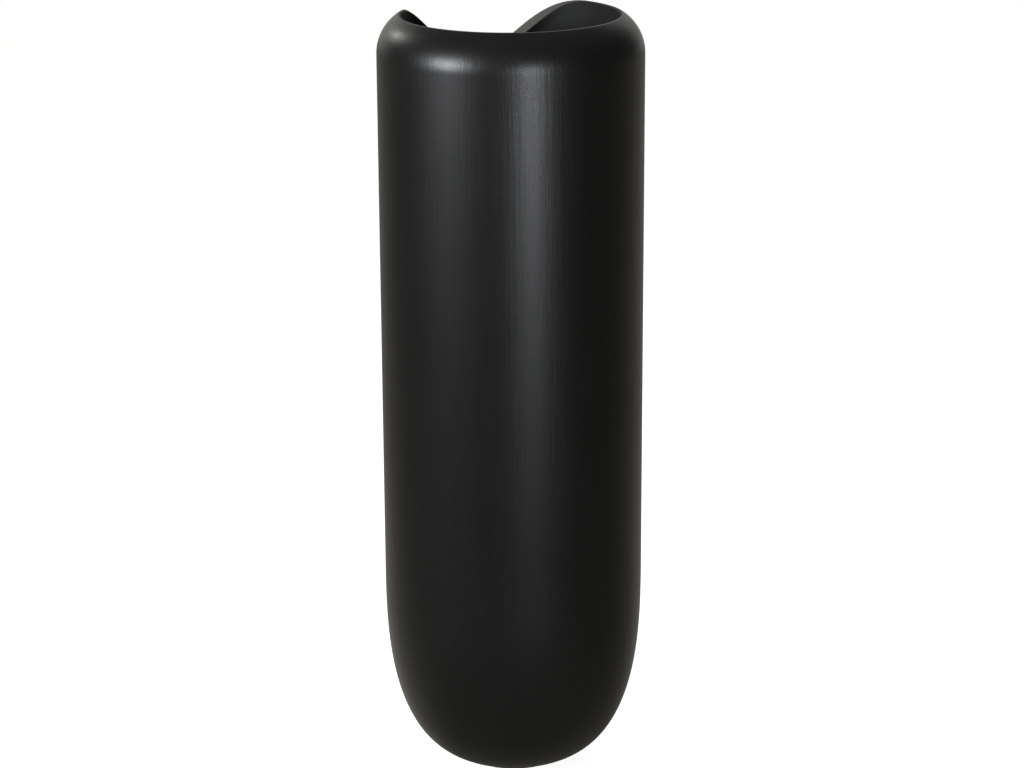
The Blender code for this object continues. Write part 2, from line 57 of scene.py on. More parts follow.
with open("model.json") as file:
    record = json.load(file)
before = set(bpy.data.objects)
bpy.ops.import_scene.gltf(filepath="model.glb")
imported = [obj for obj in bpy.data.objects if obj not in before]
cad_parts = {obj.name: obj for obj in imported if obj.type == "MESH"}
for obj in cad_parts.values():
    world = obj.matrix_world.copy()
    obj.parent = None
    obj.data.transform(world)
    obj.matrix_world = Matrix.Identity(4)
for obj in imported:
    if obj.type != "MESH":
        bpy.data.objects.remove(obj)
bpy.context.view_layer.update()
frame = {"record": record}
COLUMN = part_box("column_shell")
BODY_R = COLUMN[1].x
RIM_Z = COLUMN[1].z
FOOT_Z = COLUMN[0].z
GAP = 0.0003  # between pieces that rest on each other
BACK = (0, 1, 0)
PIPE_HOLE_R = 0.0215  # the hole in the casting for the pipe to the wall
TRAP_R, TRAP_WALL = 0.0310, 0.0025  # the outside of the trap's bottle, and its wall


# ---------------------------------------------------------------- settings
def length(name, default, description):
    return FloatProperty(name=name, description=description, default=default, min=0.0, unit="LENGTH", precision=4)


def colour(name, default, description):
    return FloatVectorProperty(name=name, description=description, default=default, min=0, max=1, subtype="COLOR")


def share(name, default, description):
    return FloatProperty(name=name, description=description, default=default, min=0.0, max=1.0, subtype="FACTOR")


class ColumnSizes(bpy.types.PropertyGroup):
    rim_radius: length("Rim Radius", 0.1242, "Inside of the rim")
    basin_radius: length("Basin Radius", 0.1255, "Inside of the wall between the rim and the bowl")
    lip_width: length("Lip Width", 0.0040, "Flat top of the lip before its edges are eased")
    shoulder_radius: length("Shoulder Radius", 0.0515, "Radius of the rolled shoulder, seen in section")
    lip_relief: length("Lip Relief", 0.008, "Height over which the lip's inside falls back to the basin wall")
    edge_ease: length("Edge Ease", 0.0010, "How far the rim's edges are rounded back")
    scoop_half_width: length("Scoop Half Width", 0.112, "Half the width of the dip in the back of the rim")
    scoop_depth: length("Scoop Depth", 0.070, "Depth of the dip below the rim")
    foot_height: length("Foot Height", 0.2453, "Height at which the foot's rounding meets the straight wall")
    foot_core: length("Foot Core", 0.022, "Radius at which the foot's rounding curve ends")
    foot_power: FloatProperty(name="Foot Power", description="Fullness of the foot's rounding", default=2.75)
    wall: length("Wall", 0.012, "Thickness of the column's wall")
    floor_thickness: length("Floor Thickness", 0.014, "Thickness of the casting under the hollow")
    floor_radius: length("Floor Radius", 0.056, "Flat part of the floor inside the hollow")
    ledge_height: length("Ledge Height", 0.800, "Top of the ledge that carries the bowl")
    ledge_radius: length("Ledge Radius", 0.1205, "Inside of the ledge")
    columns: IntProperty(name="Columns", description="Grid columns round the casting", default=240, min=24)


class PanelSizes(bpy.types.PropertyGroup):
    half_width: length("Half Width", 0.070, "Half the width of the recess for the panel")
    low: length("Low Edge", 0.205, "Height of the recess's lower edge")
    high: length("High Edge", 0.525, "Height of the recess's upper edge")
    corner: length("Corner", 0.016, "Corner radius of the recess")
    recess: length("Recess Depth", 0.0050, "Depth of the recess for the panel")
    lip: length("Lip", 0.010, "Width of the lip that the panel rests on")
    thickness: length("Thickness", 0.0047, "Thickness of the panel")
    joint_gap: length("Joint Gap", 0.0007, "Gap between the panel's edge and its recess")
    notch: length("Finger Notch", 0.009, "Radius of the notch in the panel's lower edge")
    magnet_radius: length("Magnet Radius", 0.0040, "Radius of the magnets and their keepers")


class PipeSizes(bpy.types.PropertyGroup):
    pipe_radius: length("Pipe Radius", 0.0160, "Outside of the waste pipe")
    pipe_wall: length("Pipe Wall", 0.0015, "Wall of the waste pipe")
    bore_radius: length("Bore Radius", 0.0165, "Bore that the pipe slides through")
    thread_radius: length("Thread Radius", 0.0209, "Outside of the waste's threaded tail")
    thread_pitch: length("Thread Pitch", 0.0020, "Rise of the pipe threads in one turn")
    outlet_height: length("Outlet Height", 0.570, "Height of the pipe to the wall")


class Finishes(bpy.types.PropertyGroup):
    casting: colour("Casting", (0.0040, 0.0039, 0.0038), "Through-coloured black of the casting")
    casting_roughness: share("Casting Roughness", 0.365, "Softness of the casting's sheen")
    coating: colour("Coating", (0.012, 0.012, 0.0125), "Black coating of the brass fittings")
    plastic: colour("Plastic", (0.76, 0.76, 0.73), "White plastic of the trap")
    rubber: colour("Rubber", (0.022, 0.022, 0.023), "Black rubber of the seals")
    sealant: colour("Sealant", (0.014, 0.014, 0.014), "Black sealant round the bowl")
    steel: colour("Steel", (0.60, 0.59, 0.57), "Stainless steel of the fixings")
    nickel: colour("Nickel", (0.72, 0.69, 0.62), "Nickel plating of the magnets")


class StageSettings(bpy.types.PropertyGroup):
    camera_distance: length("Camera Distance", 3.252, "From the column's axis, along the floor")
    camera_height: length("Camera Height", 1.433, "Above the floor")
    camera_azimuth: FloatProperty(name="Camera Azimuth", description="From straight in front", default=-17.2)
    camera_pitch: FloatProperty(name="Camera Pitch", description="Degrees below level", default=16.60)
    camera_roll: FloatProperty(name="Camera Roll", description="Degrees about the line of sight", default=-0.28)
    lens: FloatProperty(name="Lens", description="Focal length on a 36 mm sensor", default=101.7, unit="CAMERA")
    surroundings: FloatProperty(name="Surroundings", description="Light from the grey room", default=0.075)
    floor: colour("Floor", (0.80, 0.80, 0.79), "Pale studio floor")


class SinkSettings(bpy.types.PropertyGroup):
    column: PointerProperty(type=ColumnSizes)
    panel: PointerProperty(type=PanelSizes)
    pipes: PointerProperty(type=PipeSizes)
    finishes: PointerProperty(type=Finishes)
    stage: PointerProperty(type=StageSettings)


def settings():
    return bpy.context.scene.column_sink


# ---------------------------------------------------------------- shaders
def feed(socket, value):
    """Links a Value to the socket, or sets the socket to a plain number or colour."""
    if isinstance(value, Value):
        value.tree.links.new(value.socket, socket)
    else:
        socket.default_value = value


class Value:
    """A shader socket that takes part in sums: each operator adds its Math node."""

    def __init__(self, tree, socket):
        self.tree, self.socket = tree, socket

    def maths(self, operation, a, b=0.0, clamp=False):
        node = self.tree.nodes.new("ShaderNodeMath")
        node.operation, node.use_clamp = operation, clamp
        feed(node.inputs[0], a)
        feed(node.inputs[1], b)
        return Value(self.tree, node.outputs[0])

    def clamped(self):
        return self.maths("ADD", self, 0.0, clamp=True)

    __add__ = __radd__ = lambda self, other: self.maths("ADD", self, other)
    __mul__ = __rmul__ = lambda self, other: self.maths("MULTIPLY", self, other)
    __sub__ = lambda self, other: self.maths("SUBTRACT", self, other)
    __rsub__ = lambda self, other: self.maths("SUBTRACT", other, self)
    __truediv__ = lambda self, other: self.maths("DIVIDE", self, other)
    __rtruediv__ = lambda self, other: self.maths("DIVIDE", other, self)
    __pow__ = lambda self, other: self.maths("POWER", self, other)
    __lt__ = lambda self, other: self.maths("LESS_THAN", self, other)
    __gt__ = lambda self, other: self.maths("GREATER_THAN", self, other)


class Shader:
    """A new material and its Principled shader, with short ways to add nodes to it."""

    def __init__(self, base, roughness, metallic=0.0):
        self.base, self.material = base, bpy.data.materials.new("finish")
        self.material.use_nodes = True
        self.material.diffuse_color = (*base, 1)
        self.tree = self.material.node_tree
        self.set(Base_Color=(*base, 1), Roughness=roughness, Metallic=metallic)
        self.object_place = self.node("TexCoord", output="Object")

    def node(self, kind, options=None, output=0, **sockets):
        """Adds a ShaderNode of that kind: its options first, then the values or links of its sockets."""
        node = self.tree.nodes.new("ShaderNode" + kind)
        for option, value in (options or {}).items():
            setattr(node, option, value)
        for name, value in sockets.items():
            feed(node.inputs[name.replace("_", " ")], value)
        return Value(self.tree, node.outputs[output])

    def set(self, **sockets):
        for name, value in sockets.items():
            feed(self.tree.nodes["Principled BSDF"].inputs[name.replace("_", " ")], value)

    def stretched(self, scale):
        """Object coordinates, times a scale for each axis."""
        return self.node("Mapping", Vector=self.object_place, Scale=scale)

    def along(self, axis):
        return self.node("SeparateXYZ", output=axis, Vector=self.object_place)

    def noise(self, scale, detail=3.0, roughness=0.5, stretch=(1, 1, 1)):
        place = self.stretched(stretch)
        return self.node("TexNoise", Vector=place, Scale=scale, Detail=detail, Roughness=roughness)

    def mixed(self, factor, first, second):
        """A colour that goes from first to second with the factor."""
        node = self.tree.nodes.new("ShaderNodeMix")
        node.data_type = "RGBA"
        for slot, value in ((0, factor), (6, first), (7, second)):  # the factor and the two colours
            feed(node.inputs[slot], value)
        return Value(self.tree, node.outputs[2])

    def surface(self, tone, dark, light, roughness):
        """The base colour, times dark to times light as the tone goes from 0 to 1, and the roughness."""
        shades = [(*(c * k for c in self.base), 1) for k in (dark, light)]
        self.set(Base_Color=self.mixed(tone, *shades), Roughness=roughness)

    def bump(self, height, strength, distance):
        self.set(Normal=self.node("Bump", Height=height, Strength=strength, Distance=distance))


def casting():
    """Black mineral casting, rubbed down by hand: fine upright strokes, faint clouding and a few pinholes.
    It is left rougher inside the rim."""
    f, sizes = settings().finishes, settings().column
    s = Shader(f.casting, f.casting_roughness)
    strokes = s.noise(1.0, 4, 0.6, (260, 260, 7))
    fine_strokes = s.noise(1.0, 2, 0.5, (900, 900, 30))
    clouds, peel = s.noise(9.0, 4, 0.55), s.noise(420.0, 2)
    cell, pick = (s.node("TexVoronoi", {}, out, Vector=s.object_place, Scale=75.0) for out in ("Distance", "Color"))
    chosen = s.node("SeparateColor", Color=pick) > 0.965  # about one cell in thirty
    pinholes = (1 - (cell / 0.055).clamped()) * chosen
    across = s.node("VectorMath", {"operation": "LENGTH"}, "Value", Vector=s.stretched((1, 1, 0)))
    inside = (across < sizes.basin_radius + 0.0003) * (s.along("Z") > sizes.foot_height)
    softness = (strokes - 0.5) * 0.055 + (clouds - 0.5) * 0.05 + pinholes * 0.2 + inside * 0.30
    s.surface(clouds, 0.82, 1.20, softness + f.casting_roughness)
    s.bump(strokes + fine_strokes * 0.5 + peel * 0.12 - pinholes * 3.0, 0.45, 0.00035)
    return s.material


def black_fitting():
    """Brass under a black coating: an even low sheen with a faint brushed grain."""
    s = Shader(settings().finishes.coating, 0.30, 0.35)
    grain, wear = s.noise(1.0, 3, stretch=(40, 40, 900)), s.noise(60.0, 5, 0.6)
    s.surface(wear, 0.8, 1.35, 0.27 + grain * 0.07 + wear * 0.05)
    s.bump(grain, 0.15, 0.00008)
    return s.material


def polypropylene():
    """White moulded plastic with the mould's fine texture and slight cloudiness."""
    s = Shader(settings().finishes.plastic, 0.42)
    s.set(Subsurface_Weight=0.08, Subsurface_Radius=(0.004, 0.004, 0.003))
    clouds, texture = s.noise(35.0), s.noise(1400.0, 1)
    s.surface(clouds, 0.93, 1.04, 0.38 + texture * 0.08)
    s.bump(texture, 0.12, 0.00006)
    return s.material


def rubber():
    """Black rubber: matt, with a dusty bloom in patches."""
    s = Shader(settings().finishes.rubber, 0.72)
    bloom, grit = s.noise(55.0, 5, 0.65), s.noise(1800.0, 2)
    s.surface(bloom, 0.75, 1.7, 0.62 + bloom * 0.2)
    s.bump(grit, 0.25, 0.00010)
    return s.material


def sealant():
    """Black silicone: smooth where a finger drew it, with slow ripples along the bead."""
    s = Shader(settings().finishes.sealant, 0.38)
    ripples = s.noise(70.0, 2)
    s.set(Roughness=0.32 + ripples * 0.12)
    s.bump(ripples, 0.35, 0.0004)
    return s.material


def steel():
    """Stainless steel with a turned, slightly dulled surface."""
    s = Shader(settings().finishes.steel, 0.30, 1.0)
    rings, stains = s.noise(1.0, 3, stretch=(60, 60, 1500)), s.noise(90.0, 4)
    s.surface(stains, 0.82, 1.08, 0.22 + rings * 0.12 + stains * 0.08)
    s.bump(rings, 0.2, 0.00005)
    return s.material


def nickel():
    """Warm nickel plating over a magnet, with faint scuffs."""
    s = Shader(settings().finishes.nickel, 0.16, 1.0)
    scuffs = s.noise(700.0, 4, 0.7)
    s.set(Roughness=0.12 + scuffs * 0.14)
    s.bump(scuffs, 0.1, 0.00003)
    return s.material


FINISHES = (casting, black_fitting, polypropylene, rubber, sealant, steel, nickel)  # each named after its slot
SLOT_OF_NODE = {part["node"]: part["material_slot"] for part in frame["record"]["subparts"]}
BODY_OF_NODE = {node: body for body, nodes in frame["record"]["behaviour"]["bodies"].items() for node in nodes}


def finish(slot):
    """The slot's material, made when it is first asked for."""
    name = "sink_" + slot
    if name not in bpy.data.materials:
        next(f for f in FINISHES if f.__name__ == slot)().name = name
    return bpy.data.materials[name]


# ---------------------------------------------------------------- surfaces
def linked(name, data):
    """A new object of that data, in the scene."""
    obj = bpy.data.objects.new(name, data)
    bpy.context.scene.collection.objects.link(obj)
    return obj


class Skin:
    """Grids of points that are sewn into one mesh. Point (i, j) of a grid is row i, column j, and its last
    column meets its first."""

    def __init__(self):
        self.points, self.faces, self.count = [], [], 0

    def add(self, grid, closed_rows=False, without=()):
        """Adds a (rows, columns, 3) grid and its quads, less those in the (row, row, column, column) windows."""
        rows, columns = grid.shape[:2]
        i, j = np.arange(rows if closed_rows else rows - 1)[:, None], np.arange(columns)[None, :]
        here, below, beside = i * columns, (i + 1) % rows * columns, (j + 1) % columns
        quads = np.stack([here + j, here + beside, below + beside, below + j], axis=-1)
        kept = np.ones(quads.shape[:2], bool)
        for top, bottom, left, right in without:
            kept[top:bottom, left:right] = False
        self.points.append(grid.reshape(-1, 3))
        self.faces.append(quads[kept] + self.count)
        self.count += rows * columns
        return self

    def mesh(self, name):
        """A closed mesh: shared points merged, poles closed, faces turned outwards."""
        points, faces = np.concatenate(self.points), np.concatenate(self.faces)
        mesh = bpy.data.meshes.new(name)
        mesh.vertices.add(len(points))
        mesh.vertices.foreach_set("co", points.astype(np.float32).ravel())
        mesh.loops.add(faces.size)
        mesh.loops.foreach_set("vertex_index", faces.astype(np.int32).ravel())
        mesh.polygons.add(len(faces))
        mesh.polygons.foreach_set("loop_start", np.arange(0, faces.size, 4, dtype=np.int32))
        mesh.update(calc_edges=True)
        sewn = bmesh.new()
        sewn.from_mesh(mesh)
        bmesh.ops.remove_doubles(sewn, verts=sewn.verts, dist=2e-6)
        bmesh.ops.dissolve_degenerate(sewn, edges=sewn.edges, dist=1e-7)
        bmesh.ops.recalc_face_normals(sewn, faces=sewn.faces)
        sewn.to_mesh(mesh)
        sewn.free()
        return mesh


def place_piece(name, mesh, sharp=40):
    """Links the finished mesh as the piece that stands for a CAD node and takes its slot and body."""
    mesh.name = name + "_skin"
    mesh.materials.clear()
    mesh.materials.append(finish(SLOT_OF_NODE[name]))
    mesh.shade_smooth()
    mesh.set_sharp_from_angle(angle=radians(sharp))
    obj = linked(name + "_skin", mesh)
    obj.modifiers.new("flat faces stay flat", "WEIGHTED_NORMAL").keep_sharp = True
    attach(obj, BODY_OF_NODE[name])
    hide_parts(name)
    return obj


def outline(corners, steps=5):
    """A closed outline. Each corner (x, y, ease) becomes the quadratic curve (1-t)^2 A + 2t(1-t) C + t^2 B,
    whose ends A and B lie `ease` back along the two edges, or nearly half of them if they are short."""
    corners = np.array([(*c, 0.0)[:3] for c in corners], float)
    centre, ease = corners[:, :2], corners[:, 2]
    ends = []
    for towards in (1, -1):
        edge = np.roll(centre, towards, axis=0) - centre
        size = np.maximum(np.linalg.norm(edge, axis=1), 1e-9)
        ends.append(centre + edge * (np.minimum(ease, 0.49 * size) / size)[:, None])
    t = np.linspace(0, 1, steps + 1)[None, :, None]
    first, last = ends[0][:, None], ends[1][:, None]
    curve = (1 - t) ** 2 * first + 2 * t * (1 - t) * centre[:, None] + t**2 * last
    flat = curve.reshape(-1, 2)
    step = np.linalg.norm(flat - np.roll(flat, 1, axis=0), axis=1)
    return flat[step > 1e-7]


def upright(axis):
    return np.array(Vector((0, 0, 1)).rotation_difference(Vector(axis)).to_matrix())


def turned(profile, columns=96, at=(0, 0, 0), axis=(0, 0, 1), shape=None):
    """Turns profile points (radius, height) about the axis: x = r sin a, y = r cos a, z = height.
    shape(radius, height, angle) may change the radius round the turn."""
    angle = np.arange(columns) * tau / columns
    radius, height = (np.repeat(profile[:, k : k + 1], columns, axis=1) for k in (0, 1))
    if shape:
        radius = shape(radius, height, angle[None, :])
    grid = np.stack([radius * np.sin(angle), radius * np.cos(angle), height], axis=-1)
    return grid @ upright(axis).T + np.array(at)


def turned_mesh(name, corners, columns=96, **options):
    return Skin().add(turned(outline(corners), columns, **options), closed_rows=True).mesh(name)


def turned_piece(name, corners, columns=96, **options):
    return place_piece(name, turned_mesh(name, corners, columns, **options))


def ring(inner, outer, low, high, ease=0.0003):
    """Corners of a ring's section, for turned_piece."""
    return [(inner, low, ease), (outer, low, ease), (outer, high, ease), (inner, high, ease)]


def bar(radius, low, high, ease=0.0003):
    """Corners of a round bar's section, for turned_piece."""
    return [(0, low), (radius, low, ease), (radius, high, ease), (0, high)]


def arc(r, z, across, up, first, last, steps):
    """Points (r + across cos a, z + up sin a), for a from first to last degrees."""
    a = np.radians(np.linspace(first, last, steps))
    return np.stack([r + across * np.cos(a), z + up * np.sin(a)], axis=-1)


def combined(mesh, operation, *tools):
    """The mesh cut by, or joined to, the tool meshes with exact Booleans, as a new mesh."""
    base, *helpers = (linked("solid", part) for part in (mesh, *tools))
    for helper in helpers:
        modifier = base.modifiers.new("combine", "BOOLEAN")
        modifier.operation, modifier.solver, modifier.object = operation, "EXACT", helper
    bpy.context.view_layer.update()
    made = bpy.data.meshes.new_from_object(base.evaluated_get(bpy.context.evaluated_depsgraph_get()))
    for obj in (base, *helpers):
        bpy.data.objects.remove(obj)
    return made


def joined_tools(meshes):
    """One mesh that holds several separate tool solids."""
    work = bmesh.new()
    for mesh in meshes:
        work.from_mesh(mesh)
    made = bpy.data.meshes.new("tools")
    work.to_mesh(made)
    work.free()
    return made


def extent(node, axis="z"):
    """(radius, lowest, highest) of a round CAD node about its own axis."""
    low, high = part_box(node)
    return high.x, getattr(low, axis), getattr(high, axis)


def ring_piece(name, bore, ease=0.0003, columns=96):
    """A washer or flat seal: a ring from the bore out to the CAD node's own radius."""
    turned_piece(name, ring(bore, *extent(name), ease), columns)


# ---------------------------------------------------------------- the casting
class Rounding:
    """The foot's rounding: r goes as sin(t)^(2/n) from core to radius, z as 1 - cos(t)^(2/n) from low up to
    the height at which the straight wall starts."""

    def __init__(self, core, radius, low):
        self.core, self.radius, self.low = core, radius, low
        self.high, self.power = settings().column.foot_height, settings().column.foot_power

    def angle(self, z):
        return np.arccos(np.clip(1 - (z - self.low) / (self.high - self.low), 0, 1) ** (self.power / 2))

    def section(self, t):
        spread, rise = np.sin(t) ** (2 / self.power), 1 - np.maximum(np.cos(t), 0) ** (2 / self.power)
        radius = self.core + (self.radius - self.core) * spread
        return np.stack([radius, self.low + (self.high - self.low) * rise], axis=-1)

    def radius_at(self, z):
        return self.section(self.angle(np.minimum(z, self.high)))[..., 0]


class Casting:
    """The column's section: its outer curve, inner curve and the dip of its rim."""

    def __init__(self):
        self.s = s = settings().column
        span = acos(1 - (BODY_R - s.rim_radius - s.lip_width) / s.shoulder_radius)
        self.wall_length = RIM_Z - s.shoulder_radius * sin(span) - s.ledge_height
        self.upper_length = self.wall_length + s.shoulder_radius * span
        self.outer = Rounding(s.foot_core, BODY_R, 0)
        self.inner = Rounding(s.floor_radius, BODY_R - s.wall, FOOT_Z + s.floor_thickness)

    def upper(self, q):
        """Radius and height at a length q along the outer curve, from the ledge's height up to the lip."""
        s = self.s
        a = np.maximum(q - self.wall_length, 0) / s.shoulder_radius
        radius = BODY_R - s.shoulder_radius * (1 - np.cos(a))
        return radius, s.ledge_height + np.minimum(q, self.wall_length) + s.shoulder_radius * np.sin(a)

    def rim_height(self, radius, angle):
        """The rim's top: RIM_Z, less depth * (1 - (x / half width)^2)^2 where the back is scooped."""
        x = radius * np.sin(angle)
        dip = self.s.scoop_depth * np.maximum(1 - (x / self.s.scoop_half_width) ** 2, 0) ** 2
        return RIM_Z - np.where(np.cos(angle) > 0, dip, 0)

    def edge_length(self, angle):
        """The length along the outer curve at which it meets the rim's top, found by halving."""
        low, high = np.zeros_like(angle), np.full_like(angle, self.upper_length)
        for _ in range(40):
            middle = (low + high) / 2
            radius, height = self.upper(middle)
            under = height < self.rim_height(radius, angle)
            low, high = np.where(under, middle, low), np.where(under, high, middle)
        return high

    def top_rows(self, angle):
        """Radius and height rows from the ledge's height up the outside, over the rim and down the basin wall."""
        s = self.s
        edge = self.edge_length(angle)
        outer_r = self.upper(edge)[0]
        width = outer_r - s.rim_radius
        ease = np.minimum(s.edge_ease, 0.46 * width)
        inset = ease / width

        def top(share):
            radius = outer_r - width * share
            return np.stack([radius, self.rim_height(radius, angle)])

        def rounded(start, corner, stop):
            t = np.linspace(0, 1, 6)[:, None, None]
            return (1 - t) ** 2 * start + 2 * t * (1 - t) * corner + t**2 * stop

        climb = np.stack(self.upper(np.linspace(0, 1, 60)[:, None] * (edge - ease)), axis=1)
        across = np.stack([top(inset + (1 - 2 * inset) * k) for k in np.linspace(0, 1, 9)])
        outer_edge, inner_top = rounded(climb[-1], top(0), across[0]), top(1)
        drop = np.minimum(1.5 * ease, s.edge_ease)
        inner_edge = rounded(across[-1], inner_top, inner_top - np.stack([0 * drop, drop]))
        down, start_z = np.linspace(0, 1, 18)[:, None], inner_edge[-1, 1]
        wall_z = start_z * (1 - down) + s.ledge_height * down
        under_lip = np.clip((start_z - wall_z) / s.lip_relief, 0, 1)
        inner_wall = np.stack([s.rim_radius + (s.basin_radius - s.rim_radius) * under_lip, wall_z], axis=1)
        return np.concatenate([climb[:-1], outer_edge[:-1], across[:-1], inner_edge[:-1], inner_wall])


def rounded_rectangle(across, up, half_width, low, high, corner):
    """Points round a rounded rectangle of (x, z), from the middle of its lower left corner. Each side is half
    a corner arc, a straight stretch and half an arc, with as many steps as the grid window's side has."""
    half_height, arc_steps, points = (high - low) / 2, 4, []
    for turn, steps in enumerate((across, up, across, up)):
        along, away = (half_width, half_height)[:: 1 if turn % 2 == 0 else -1]
        first = radians(-135) + pi / 4 * np.arange(arc_steps) / arc_steps
        straight = np.linspace(-1, 1, steps - 2 * arc_steps, endpoint=False) * (along - corner)
        start, stop = (corner * np.stack([np.cos(a), np.sin(a)]) for a in (first, first + pi / 4))
        x = np.concatenate([corner - along + start[0], straight, along - corner + stop[0]])
        y = np.concatenate([corner - away + start[1], 0 * straight - away, corner - away + stop[1]])
        c, s = cos(turn * pi / 2), sin(turn * pi / 2)
        points.append(np.stack([x * c - y * s, x * s + y * c + (low + high) / 2], axis=-1))
    return np.concatenate(points)


def round_hole(across, up, radius, height):
    """Points round a circle of (x, z), a quarter turn for each side of the grid window."""
    sides = enumerate((across, up, across, up))
    angle = np.concatenate([radians(-135 + 90 * k) + pi / 2 * np.arange(n) / n for k, n in sides])
    return np.stack([radius * np.cos(angle), height + radius * np.sin(angle)], axis=-1)


def window_edge(grid, top, bottom, left, right):
    """The grid's points round a window of it, in the order that the outlines above go."""
    return np.concatenate([
        grid[top, left:right], grid[top:bottom, right],
        grid[bottom, right:left:-1], grid[bottom:top:-1, left],
    ])


def on_round(points, radius):
    """Puts (x, z) points on a round surface about the Z axis, at the back: y = sqrt(r^2 - x^2)."""
    x, z = points[..., 0], points[..., 1]
    return np.stack([x, np.sqrt(radius**2 - x**2), z], axis=-1)


def eased_step(corner, before, after, ease, steps=3):
    """Pairs (inset, radius) that round one corner of a stepped edge, both ends included."""
    corner, before, after = (np.array(p, float) for p in (corner, before, after))
    a = corner + (before - corner) / np.linalg.norm(before - corner) * ease
    b = corner + (after - corner) / np.linalg.norm(after - corner) * ease
    t = np.linspace(0, 1, steps + 1)[:, None]
    return list((1 - t) ** 2 * a + 2 * t * (1 - t) * corner + t**2 * b)


def sleeve(edge_out, edge_in, loop, steps, radius_out, radius_in):
    """Rows that join a window in the outer surface to one in the inner surface round an opening.
    steps are (inset, radius) pairs from the outer surface to the inner one, loop(inset) the opening's outline."""
    plan_out, plan_in = edge_out[:, [0, 2]], edge_in[:, [0, 2]]
    shares = np.linspace(0, 1, 6)
    flats = [plan_out * (1 - t) + loop(steps[0][0]) * t for t in shares[:-1]]
    rows = [on_round(flat, radius_out(flat[:, 1])) for flat in flats]
    for inset, radius in steps:
        flat = loop(inset)
        rows.append(on_round(flat, np.minimum(radius, radius_out(flat[:, 1]))))
    flats = [loop(steps[-1][0]) * (1 - t) + plan_in * t for t in shares[1:]]
    return np.stack(rows + [on_round(flat, radius_in(flat[:, 1])) for flat in flats])


def magnet_frames():
    """Each magnet's (place on the axis, outward direction), on the lips above and below the opening."""
    p = settings().panel
    heights = (p.low + p.lip / 2, p.high - p.lip / 2)
    return [((0, 0, z), (sin(a), cos(a), 0)) for a in (radians(-14), radians(14)) for z in heights]


def screw_places(turn=0.0, circle=0.045):
    return [(circle * cos(tau * (k + turn) / 4), circle * sin(tau * (k + turn) / 4), 0) for k in range(4)]


def bores(radius, low, high, places, ease=0.0003):
    """Round tools that bore upright holes at those places."""
    return [turned_mesh("bore", bar(radius, low, high, ease), 32, at=at) for at in places]


def pockets(low, high, ease=0.0003):
    """Round tools that cut the magnets' pockets between two radii."""
    radius = settings().panel.magnet_radius + GAP
    return [turned_mesh("pocket", bar(radius, low, high, ease), 32, at=at, axis=out) for at, out in magnet_frames()]


def casting_mesh():
    s, p, pipe_z = settings().column, settings().panel, settings().pipes.outlet_height
    c = Casting()
    angle = (np.arange(s.columns) / s.columns - 0.5) * tau  # the back is the middle column
    wall_z = np.linspace(0.15, s.ledge_height, 85)
    foot = c.outer.section(np.linspace(c.outer.angle(FOOT_Z), c.outer.angle(wall_z[0]), 34))
    edge_r, wall_in = foot[0][0], c.inner.radius
    under = [(r, FOOT_Z) for r in (0, 0.030, 0.060, edge_r - 0.001, edge_r - 0.0003)]
    wall = np.stack([c.outer.radius_at(wall_z), wall_z], axis=-1)
    flare_z = s.ledge_height - 0.012
    neck_z = flare_z - (wall_in - s.ledge_radius)
    ledge = [(s.basin_radius - 0.0005, s.ledge_height), (s.ledge_radius + 0.0005, s.ledge_height)]
    ledge += [(s.ledge_radius, s.ledge_height - 0.0005), (s.ledge_radius, flare_z)]
    inner_z = np.concatenate([[neck_z], wall_z[wall_z < neck_z][::-1]])
    inner = np.stack([c.inner.radius_at(inner_z), inner_z], axis=-1)
    low = c.inner.section(np.linspace(c.inner.angle(wall_z[0]), 0, 18)[1:])
    floor = [(s.floor_radius * k, c.inner.low) for k in (0.8, 0.5, 0.2, 0)]
    even = (under, foot[:-1], wall[:-1], ledge, inner, low, floor)  # these are the same all round
    sections = [np.repeat(np.array(pairs, float)[:, :, None], s.columns, axis=2) for pairs in even]
    sections.insert(3, c.top_rows(angle))
    starts = np.cumsum([0] + [len(x) for x in sections])
    radius, height = np.concatenate(sections).transpose(1, 0, 2)
    grid = np.stack([radius * np.sin(angle), radius * np.cos(angle), height], axis=-1)

    def row_out(z, back):
        k = np.searchsorted(wall_z, z) - back
        return starts[2] + k, wall_z[k]

    def row_in(z):
        return starts[5] + int(np.argmin(np.abs(inner_z - z)))

    def recess(across, up, inset):
        corner = max(p.corner - inset, 0.010)
        return rounded_rectangle(across, up, p.half_width - inset, p.low + inset, p.high - inset, corner)

    def pipe_hole(across, up, inset):
        return round_hole(across, up, PIPE_HOLE_R - inset, pipe_z)

    seat, centre = BODY_R - p.recess, s.columns // 2
    steps = eased_step((0, BODY_R), (-0.004, BODY_R), (0, seat), 0.0007)
    steps += eased_step((0, seat), (0, BODY_R), (p.lip, seat), 0.0005)
    steps += eased_step((p.lip, seat), (0, seat), (p.lip, wall_in), 0.0005) + [(p.lip, wall_in)]
    skin, windows = Skin(), []
    for reach, low_z, high_z, hole, ways in (
        (21, p.low - 0.010, p.high + 0.006, recess, steps),
        (8, pipe_z - 0.030, pipe_z + 0.030, pipe_hole, [(0, BODY_R), (0, wall_in)]),
    ):
        (top, top_z), (bottom, bottom_z) = row_out(low_z, 1), row_out(high_z, 0)
        left, right, up = centre - reach, centre + reach, bottom - top
        first, last = row_in(bottom_z), row_in(top_z)
        # the inner window's rows run downwards, so its edge is walked from the same corner the other way
        edge_in = window_edge(grid[first : last + 1][::-1], 0, last - first, left, right)
        edge_out = window_edge(grid, top, bottom, left, right)
        loop = partial(hole, 2 * reach, up)
        skin.add(sleeve(edge_out, edge_in, loop, ways, c.outer.radius_at, c.inner.radius_at))
        windows += [(top, bottom, left, right), (first, last, left, right)]
    return skin.add(grid, without=windows).mesh("column_shell")


